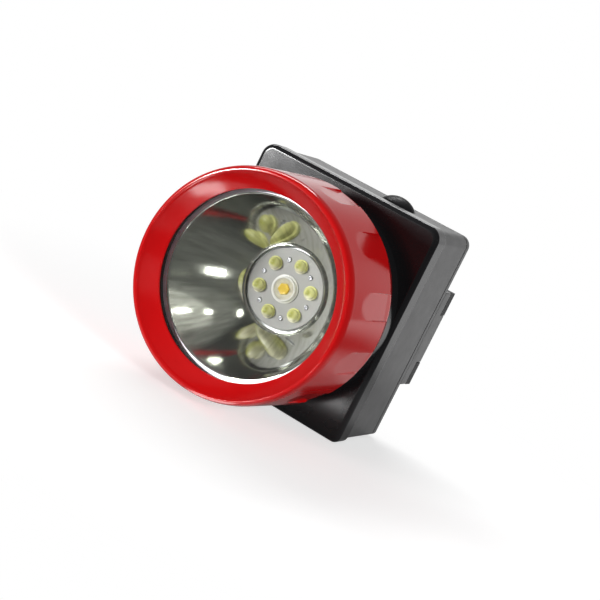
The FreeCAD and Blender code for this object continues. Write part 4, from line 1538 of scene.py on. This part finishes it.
@dataclass
class BackCover(SubAssembly):
    """Rear plate with the strap channel, cheeks and screw seats, and the frame that closes the channel."""

    edge_round: float = 1.2
    plate_depth: float = 3.8
    half_width: float = 33.2
    strap_height: float = 35.0
    channel_height: float = 31.0
    channel_half: float = 28.8
    channel_floor: float = 0.4
    platform_depth: float = 5.0
    frame_depth: float = 4.0
    slot: float = 4.6
    cheek_height: float = 18.0
    cheek: float = 2.6
    cheek_gap: float = 0.1
    plate_ease: float = 0.35
    frame_ease: float = 0.4
    forehead: float = 140.0
    screw_inset: float = 5.0
    seat_radius: float = 3.05
    seat_depth: float = 2.6
    head_radius: float = 2.75
    head_height: float = 2.0
    shank_radius: float = 1.45
    shank_length: float = 20.0
    cross_share: float = 0.55
    cross_half: float = 0.32
    cross_depth: float = 1.0

    def z_span(self, height: float) -> Point:
        """Low and high z about the lamp's axis."""
        return (self.lamp.axis_z - height / 2, self.lamp.axis_z + height / 2)

    @staticmethod
    def side_span(side: int, outer: float, inner: float) -> Point:
        """Low and high x on one side."""
        return tuple(sorted((side * outer, side * inner)))

    def screw_spans(self) -> Point:
        """How far the screws are from the middle, in x and in z."""
        return (self.lamp.wall_side - self.screw_inset, self.lamp.wall_top - self.screw_inset - self.lamp.axis_z)

    def build(self) -> None:
        """Make the plate, the frame and the screws and hang them."""
        self.build_plate()
        self.build_frame()
        self.build_screws()

    def build_plate(self) -> None:
        """Make the plate with its rounded rear edge, platform, channel, cheeks and screw seats."""
        side, front = self.lamp.wall_inset, self.lamp.back_y
        rear = front + self.plate_depth
        rows = Outline.ease_rows(reversed(SEAM_EASE), side, front, 1)
        rows += reversed(Outline.round_rows(side, rear, self.edge_round, -1))
        plate = self.lamp.outline.swept(rows)
        top = rear + self.platform_depth
        block = Solid.block((-self.half_width, self.half_width), (rear - ROOT, top), self.z_span(self.strap_height))
        channel = Solid.block((-self.channel_half, self.channel_half), (rear + self.channel_floor, top + OVERRUN),
                              self.z_span(self.channel_height))
        block = block.cut(channel)
        for side in (-1, 1):
            x = self.side_span(side, self.half_width, self.half_width - self.cheek)
            block = block.join(Solid.block(x, (top - ROOT, top + self.frame_depth), self.z_span(self.cheek_height)))
        plate = plate.join(block.eased(self.plate_ease))
        across, up = self.screw_spans()
        for x in (-across, across):
            for z in (self.lamp.axis_z - up, self.lamp.axis_z + up):
                deep = (rear - self.seat_depth, rear + OVERRUN)
                plate = plate.cut(Solid.bar(Axis.Y.at(x, z), self.seat_radius, deep))
        self.hang(plate.piece("back_plate", "body"), "case", "body_black", "back_cover")

    def build_frame(self) -> None:
        """Make the frame with a hollow rear that follows a forehead, and two strap slots."""
        front = self.lamp.plate_y
        rear = front + self.frame_depth
        through = (front - OVERRUN, rear + OVERRUN)
        block = Solid.block((-self.half_width, self.half_width), (front, rear), self.z_span(self.strap_height))
        reach = self.channel_half - self.slot
        sink = self.forehead - math.sqrt(self.forehead**2 - reach**2)
        middle = Axis.Z.at(0, rear + self.forehead - sink)
        hollow = Solid.bar(middle, self.forehead, self.z_span(self.strap_height * 2), 720)
        block = block.cut(hollow)
        cheek = self.half_width - self.cheek - self.cheek_gap
        for side in (-1, 1):
            beside = Solid.block(self.side_span(side, self.half_width + OVERRUN, cheek), through,
                                 self.z_span(self.cheek_height + 2 * self.cheek_gap))
            slot = Solid.block(self.side_span(side, self.channel_half, reach), through,
                               self.z_span(self.channel_height))
            block = block.cut(beside, slot)
        block = block.eased(self.frame_ease, 3, 30)
        self.hang(block.piece("strap_plate", "frame"), "case", "frame_black", "strap_frame")

    def screw_template(self) -> bpy.types.Object:
        """A pan head screw with a cross recess, about its own origin.

        Returns:
            The object.
        """
        shank, head, top = self.shank_radius, self.head_radius, self.head_height
        corners = [(0, -self.shank_length, 0), (shank, -self.shank_length, 0.3), (shank, 0, 0), (head, 0, 0.2),
                   (head, top * 0.55, 0.8), (1.2, top, 0.5), (0, top, 0)]
        shape = Solid.turned(soften(corners, 4), Axis.Y.at(0, 0), 48)
        arm, half, deep = head * self.cross_share, self.cross_half, (top - self.cross_depth, top + OVERRUN)
        across = Solid.block((-arm, arm), deep, (-half, half))
        upright = Solid.block((-half, half), deep, (-arm, arm))
        return shape.cut(across.join(upright)).piece("screw_template", "steel")

    def build_screws(self) -> None:
        """Make the four case screws and hang them."""
        tree = GeometryTree("corner_copies")
        gap_x, gap_z, depth, middle = (
            tree.given(label) for label in ("Half Width", "Half Height", "Depth", "Middle Height"))
        index = tree.sock("GeometryNodeInputIndex")
        column = index.math("MODULO", 2.0) * 2.0 - 1.0
        row = (index / 2.0).math("FLOOR") * 2.0 - 1.0
        spot = tree.sock("ShaderNodeCombineXYZ", inputs={0: column * gap_x, 1: depth, 2: row * gap_z + middle})
        tree.close_copies(4, spot, "steel")
        across, up = self.screw_spans()
        seat = self.lamp.back_y + self.plate_depth - self.seat_depth
        item = tree.copies("screws", self.screw_template(), {
            "Half Width": across * MM, "Half Height": up * MM, "Depth": seat * MM,
            "Middle Height": self.lamp.axis_z * MM})
        self.hang(item, "case", "screw_steel", "case_screws")


@dataclass
class PushButton(SubAssembly):
    """Low domed button on its stem."""

    radius: float = 5.7
    rim: float = 0.5
    rim_edge: float = 0.35
    proud: float = 2.9
    sunk: float = 0.2
    stem: float = 2.0
    stem_length: float = 5.1

    def build(self) -> None:
        """Make the button and hang it."""
        rim = self.lamp.wall_top + self.rim
        low = self.lamp.wall_top - self.sunk
        cap = ball_cap(self.radius, self.proud - self.rim, rim, 20)
        shoulder = (self.radius, rim - self.rim_edge)
        edge = arc(shoulder, (self.radius - 0.06, rim - 0.08), cap[1], 4)
        stem = [(0, low - self.stem_length), (self.stem, low - self.stem_length), (self.stem, low)]
        profile = stem + [(self.radius - 0.1, low), (self.radius, low + 0.1), shoulder] + edge + cap[2:]
        shape = Solid.turned(profile, Axis.Z.at(self.lamp.button_x, self.lamp.middle_y), 96)
        self.hang(shape.piece("button_cap", "button"), "button", "button_black", "push_button")


@dataclass
class ChargingPort(SubAssembly):
    """Round socket in the side wall, its centre pin and its rubber flap."""

    socket_radius: float = 4.0
    bore: float = 2.8
    bore_depth: float = 7.0
    sunk: float = 0.3
    pin: float = 1.05
    pin_sunk: float = 0.6
    body_side: float = 9.6
    body_depth: float = 8.0
    pad_depth: float = 3.4
    nose_root: float = 0.4
    flap_width: float = 11.4
    flap_height: float = 13.4
    flap_thickness: float = 1.5
    flap_corner: float = 2.2
    flap_ease: float = 0.3
    plug_outer: float = 2.4
    plug_inner: float = 1.6
    plug_length: float = 1.1
    plug_root: float = 0.3

    @property
    def floor(self) -> float:
        """Where the floor of the recess is, in x."""
        return -self.lamp.wall_side + self.lamp.socket_recess

    @property
    def place(self) -> Place:
        """Places round the socket's axis."""
        return Axis.X.at(self.lamp.middle_y, self.lamp.socket_z)

    def build(self) -> None:
        """Make the socket, the pin and the flap and hang them."""
        y, z = self.lamp.middle_y, self.lamp.socket_z
        mouth = self.floor + self.sunk
        inner = -self.lamp.wall_side + self.pad_depth
        root, end, half = inner + self.nose_root, mouth + self.bore_depth, self.body_side / 2
        corners = [(self.bore, mouth, 0.25), (self.socket_radius, mouth, 0.3), (self.socket_radius, root, 0),
                   (self.bore, root, 0)]
        nose = Solid.turned(soften(corners), self.place, 64)
        block = Solid.block((inner, inner + self.body_depth), (y - half, y + half), (z - half, z + half))
        block = block.cut(Solid.bar(self.place, self.bore, (inner - OVERRUN, end), 64))
        self.hang(nose.join(block).piece("socket", "frame"), "case", "socket_black", "charge_socket")
        tip = mouth + self.plug_length + self.pin_sunk
        corners = [(0, tip, 0), (self.pin, tip, 0.5), (self.pin, end, 0), (0, end, 0)]
        pin = Solid.turned(soften(corners, 4), self.place, 32)
        self.hang(pin.piece("pin", "steel"), "case", "pin_metal", "socket_pin")
        self.build_flap()

    def build_flap(self) -> None:
        """Make the rubber flap with a rounded fold at its top and a hollow plug, and hang it."""
        y, z, floor, thick = self.lamp.middle_y, self.lamp.socket_z, self.floor, self.flap_thickness
        plate = flap_shape((floor - thick, floor), y, z - thick / 4, self.flap_width, self.flap_height - thick / 2,
                           self.flap_corner)
        half = self.flap_width / 2
        fold_axis = (floor - thick / 2, z + self.flap_height / 2 - thick / 2)
        fold = Solid.bar(Axis.Y.at(*fold_axis), thick / 2, (y - half, y + half), 32)
        root, tip = floor - self.plug_root, floor + self.plug_length
        rim = soften([(self.plug_inner, root, 0), (self.plug_outer, root, 0), (self.plug_outer, tip, 0.25),
                      (self.plug_inner, tip, 0.15)])
        flap = plate.eased(self.flap_ease).join(fold, Solid.turned(rim, self.place, 48))
        self.hang(flap.piece("port_flap", "rubber"), "socket_flap", "rubber_black", "socket_cover")


@dataclass
class Internals(SubAssembly):
    """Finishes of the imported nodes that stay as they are."""

    nodes: dict[str, bpy.types.Object]
    finishes: tuple[tuple[str, tuple[str, ...]], ...] = (
        ("rubber", ("cover_seal", "back_seal", "barrel_seal", "button_seal")),
        ("sink", ("heat_sink",)),
        ("steel", ("sink_screws", "button_clip", "board_screws")),
        ("frame", ("switch_plunger", "tact_switch")),
        ("green", ("switch_board", "control_board")),
        ("can", ("battery_cell",)),
        ("foam", ("battery_pads",)),
        ("wire", ("battery_leads", "led_leads")),
    )

    def build(self) -> None:
        """Give each node its material."""
        for finish, names in self.finishes:
            for name in names:
                for material_slot in self.nodes[name].material_slots:
                    material_slot.material = Finishes.get(finish)
                LOG.info("%s: packed node, %s", name, finish)


@dataclass(frozen=True)
class TablePatch:
    """A soft-edged lit patch of the table that only reflections see, its sizes in millimetres."""

    middle_x: float
    middle_y: float
    half_x: float
    half_y: float
    level: float

    def light(self, x: Sock, y: Sock) -> Sock:
        """Its level at a place of the table.

        Args:
            x: The place aside, in metres.
            y: The place in depth, in metres.

        Returns:
            The level.
        """
        level = self.level
        for value, middle, half in ((x, self.middle_x, self.half_x), (y, self.middle_y, self.half_y)):
            level = (value - middle * MM).math("ABSOLUTE").ramp(half * 1.1 * MM, half * 0.7 * MM) * level
        return level


@dataclass(frozen=True)
class AreaLamp:
    """A rectangular lamp aimed at the middle of the lamp's face, in metres and watts."""

    name: str
    offset: Corner
    width: float
    height: float
    power: float
    mirrored: bool = True

    def build(self, target: Vector) -> None:
        """Put it into the scene.

        Args:
            target: The place that it is aimed at, from which its offset counts.
        """
        data = bpy.data.lights.new(self.name, "AREA")
        data.shape = "RECTANGLE"
        data.size = self.width
        data.size_y = self.height
        data.energy = self.power
        item = linked(self.name, data)
        item.location = target + Vector(self.offset)
        item.visible_glossy = self.mirrored
        item.rotation_euler = (target - item.location).to_track_quat("-Z", "Y").to_euler()


@dataclass
class Studio(SubAssembly):
    """Pale floor, soft lamps, a white surround and the camera of the photograph."""

    lens_mm: float = 93.72
    sensor_mm: float = 36.0
    camera_right: Corner = (0.812744, 0.387038, 0.435487)
    camera_down: Corner = (0.46309, 0.024433, -0.885974)
    camera_ahead: Corner = (-0.353546, 0.92174, -0.159376)
    camera_from_face: Corner = (0.179323, -0.46428, 0.077396)
    floor_half: float = 3.0
    fade_start: float = 0.08
    fade_end: float = 0.18
    paper: float = 0.62
    paper_lift: float = 0.56
    front_level: float = 0.2
    rear_level: float = 0.95
    dark_level: float = 0.07
    side_dark: float = 0.6
    side_light: float = -0.25
    skew: float = 0.35
    edge_low: float = 0.74
    edge_high: float = 0.88
    sky_dark: float = 0.5
    sky_light: float = 0.12
    floor_shift: float = 0.09
    patches: tuple[TablePatch, ...] = (
        TablePatch(7.0, -53.0, 9.0, 7.0, 9.0), TablePatch(-3.0, -71.0, 4.0, 4.0, 9.0),
        TablePatch(5.0, -88.0, 4.0, 4.0, 12.0), TablePatch(24.0, -150.0, 8.0, 10.0, 14.0),
        TablePatch(-10.0, -62.0, 42.0, 30.0, 0.7))
    lamps: tuple[AreaLamp, ...] = (
        AreaLamp("key", (-0.5, -0.85, 0.05), 0.16, 0.12, 7.5),
        AreaLamp("fill", (0.9, -0.45, 0.35), 0.5, 0.5, 7.0, mirrored=False),
        AreaLamp("rear", (-0.45, 0.42, 0.75), 0.8, 0.14, 5.0))

    def build(self) -> None:
        """Make the whole studio."""
        self.build_world()
        self.build_floor()
        for lamp in self.lamps:
            lamp.build(Vector((0, 0, self.lamp.axis_z * MM)))
        self.build_camera()
        bpy.context.scene.view_settings.view_transform = "Standard"

    def surround(self, side: Sock, depth: Sock, height: Sock | float = 1.0) -> Sock:
        """Level of the room in one direction: pale behind the lamp, dark beside and before it.

        Args:
            side: How far the direction goes to +X.
            depth: How far it goes to +Y.
            height: Share of the pale part that is left at its height.

        Returns:
            The level.
        """
        behind = (depth - side * self.skew).ramp(self.edge_low, self.edge_high) * height
        ahead = side.ramp(self.side_dark, self.side_light) * (self.front_level - self.dark_level) + self.dark_level
        return behind * (self.rear_level - ahead) + ahead

    def build_world(self) -> None:
        """Make the surround, white to the camera and graded to everything else."""
        world = bpy.data.worlds.new("surround")
        world.use_nodes = True
        world.node_tree.nodes.clear()
        bpy.context.scene.world = world
        tree = Tree(world.node_tree)
        x, y, z = tree.split(tree.sock("ShaderNodeTexCoord", output="Generated"))
        camera, through = (
            tree.sock("ShaderNodeLightPath", output=kind) for kind in ("Is Camera Ray", "Is Transmission Ray"))
        white = camera.math("MAXIMUM", through)
        level = self.surround(x, y, z.ramp(self.sky_dark, self.sky_light))
        strength = white + (1.0 - white) * level
        sky = tree.sock("ShaderNodeBackground", inputs={"Color": (1, 1, 1, 1), "Strength": strength})
        tree.node("ShaderNodeOutputWorld", inputs={"Surface": sky})

    def build_floor(self) -> None:
        """Make the large pale floor that keeps the lamp's shadow near it and turns white further off."""
        half = self.floor_half
        mesh = bpy.data.meshes.new("floor")
        corners = [(-half, -half, 0), (half, -half, 0), (half, half, 0), (-half, half, 0)]
        mesh.from_pydata(corners, [], [(0, 1, 2, 3)])
        tree = MaterialTree("floor_paper")
        x, y, _ = tree.split(tree.place)
        distance = x.hypot(y)
        camera, gloss = (
            tree.sock("ShaderNodeLightPath", output=kind) for kind in ("Is Camera Ray", "Is Glossy Ray"))
        patches = sum(patch.light(x, y) for patch in self.patches) * gloss
        lift = camera * self.paper_lift + patches
        beyond = self.surround(x / distance, y / distance + self.floor_shift)
        level = camera + (1.0 - camera) * (beyond + patches)
        painted_glow, far = (tree.sock("ShaderNodeEmission", inputs={"Color": (1, 1, 1, 1), "Strength": strength})
                     for strength in (lift, level))
        paper = tree.sock("ShaderNodeBsdfDiffuse", inputs={"Color": (self.paper,) * 3 + (1,)})
        near = tree.sock("ShaderNodeAddShader", inputs={0: paper, 1: painted_glow})
        away = distance.ramp(self.fade_start, self.fade_end)
        mesh.materials.append(tree.close(tree.sock("ShaderNodeMixShader", inputs={0: away, 1: near, 2: far})))
        linked("floor", mesh)

    def build_camera(self) -> None:
        """Make the camera, placed by the fit of the case and the lamp's circles to the photograph."""
        data = bpy.data.cameras.new("photo_camera")
        data.lens = self.lens_mm
        data.sensor_width = self.sensor_mm
        item = linked("photo_camera", data)
        place = Vector(self.camera_from_face) + Vector((0, self.lamp.face_y * MM, self.lamp.axis_z * MM))
        axes = Matrix((self.camera_right, -Vector(self.camera_down), -Vector(self.camera_ahead))).transposed()
        item.matrix_world = Matrix.Translation(place) @ axes.to_4x4()
        bpy.context.scene.camera = item


def main() -> None:
    """Build the lamp and its studio."""
    logging.basicConfig(level=logging.INFO, format="%(message)s")
    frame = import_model()
    lamp = LampFrame.read()
    Finishes.axis_z = lamp.axis_z * MM
    for group in (Studio(lamp), Internals(lamp, frame["nodes"]), FrontCover(lamp), CaseBody(lamp), BackCover(lamp),
                  Bezel(lamp), LampGlass(lamp), Reflector(lamp), LightBoard(lamp), PushButton(lamp),
                  ChargingPort(lamp)):
        group.build()
        LOG.info("built %s", type(group).__name__)


if __name__ == "__main__":
    main()
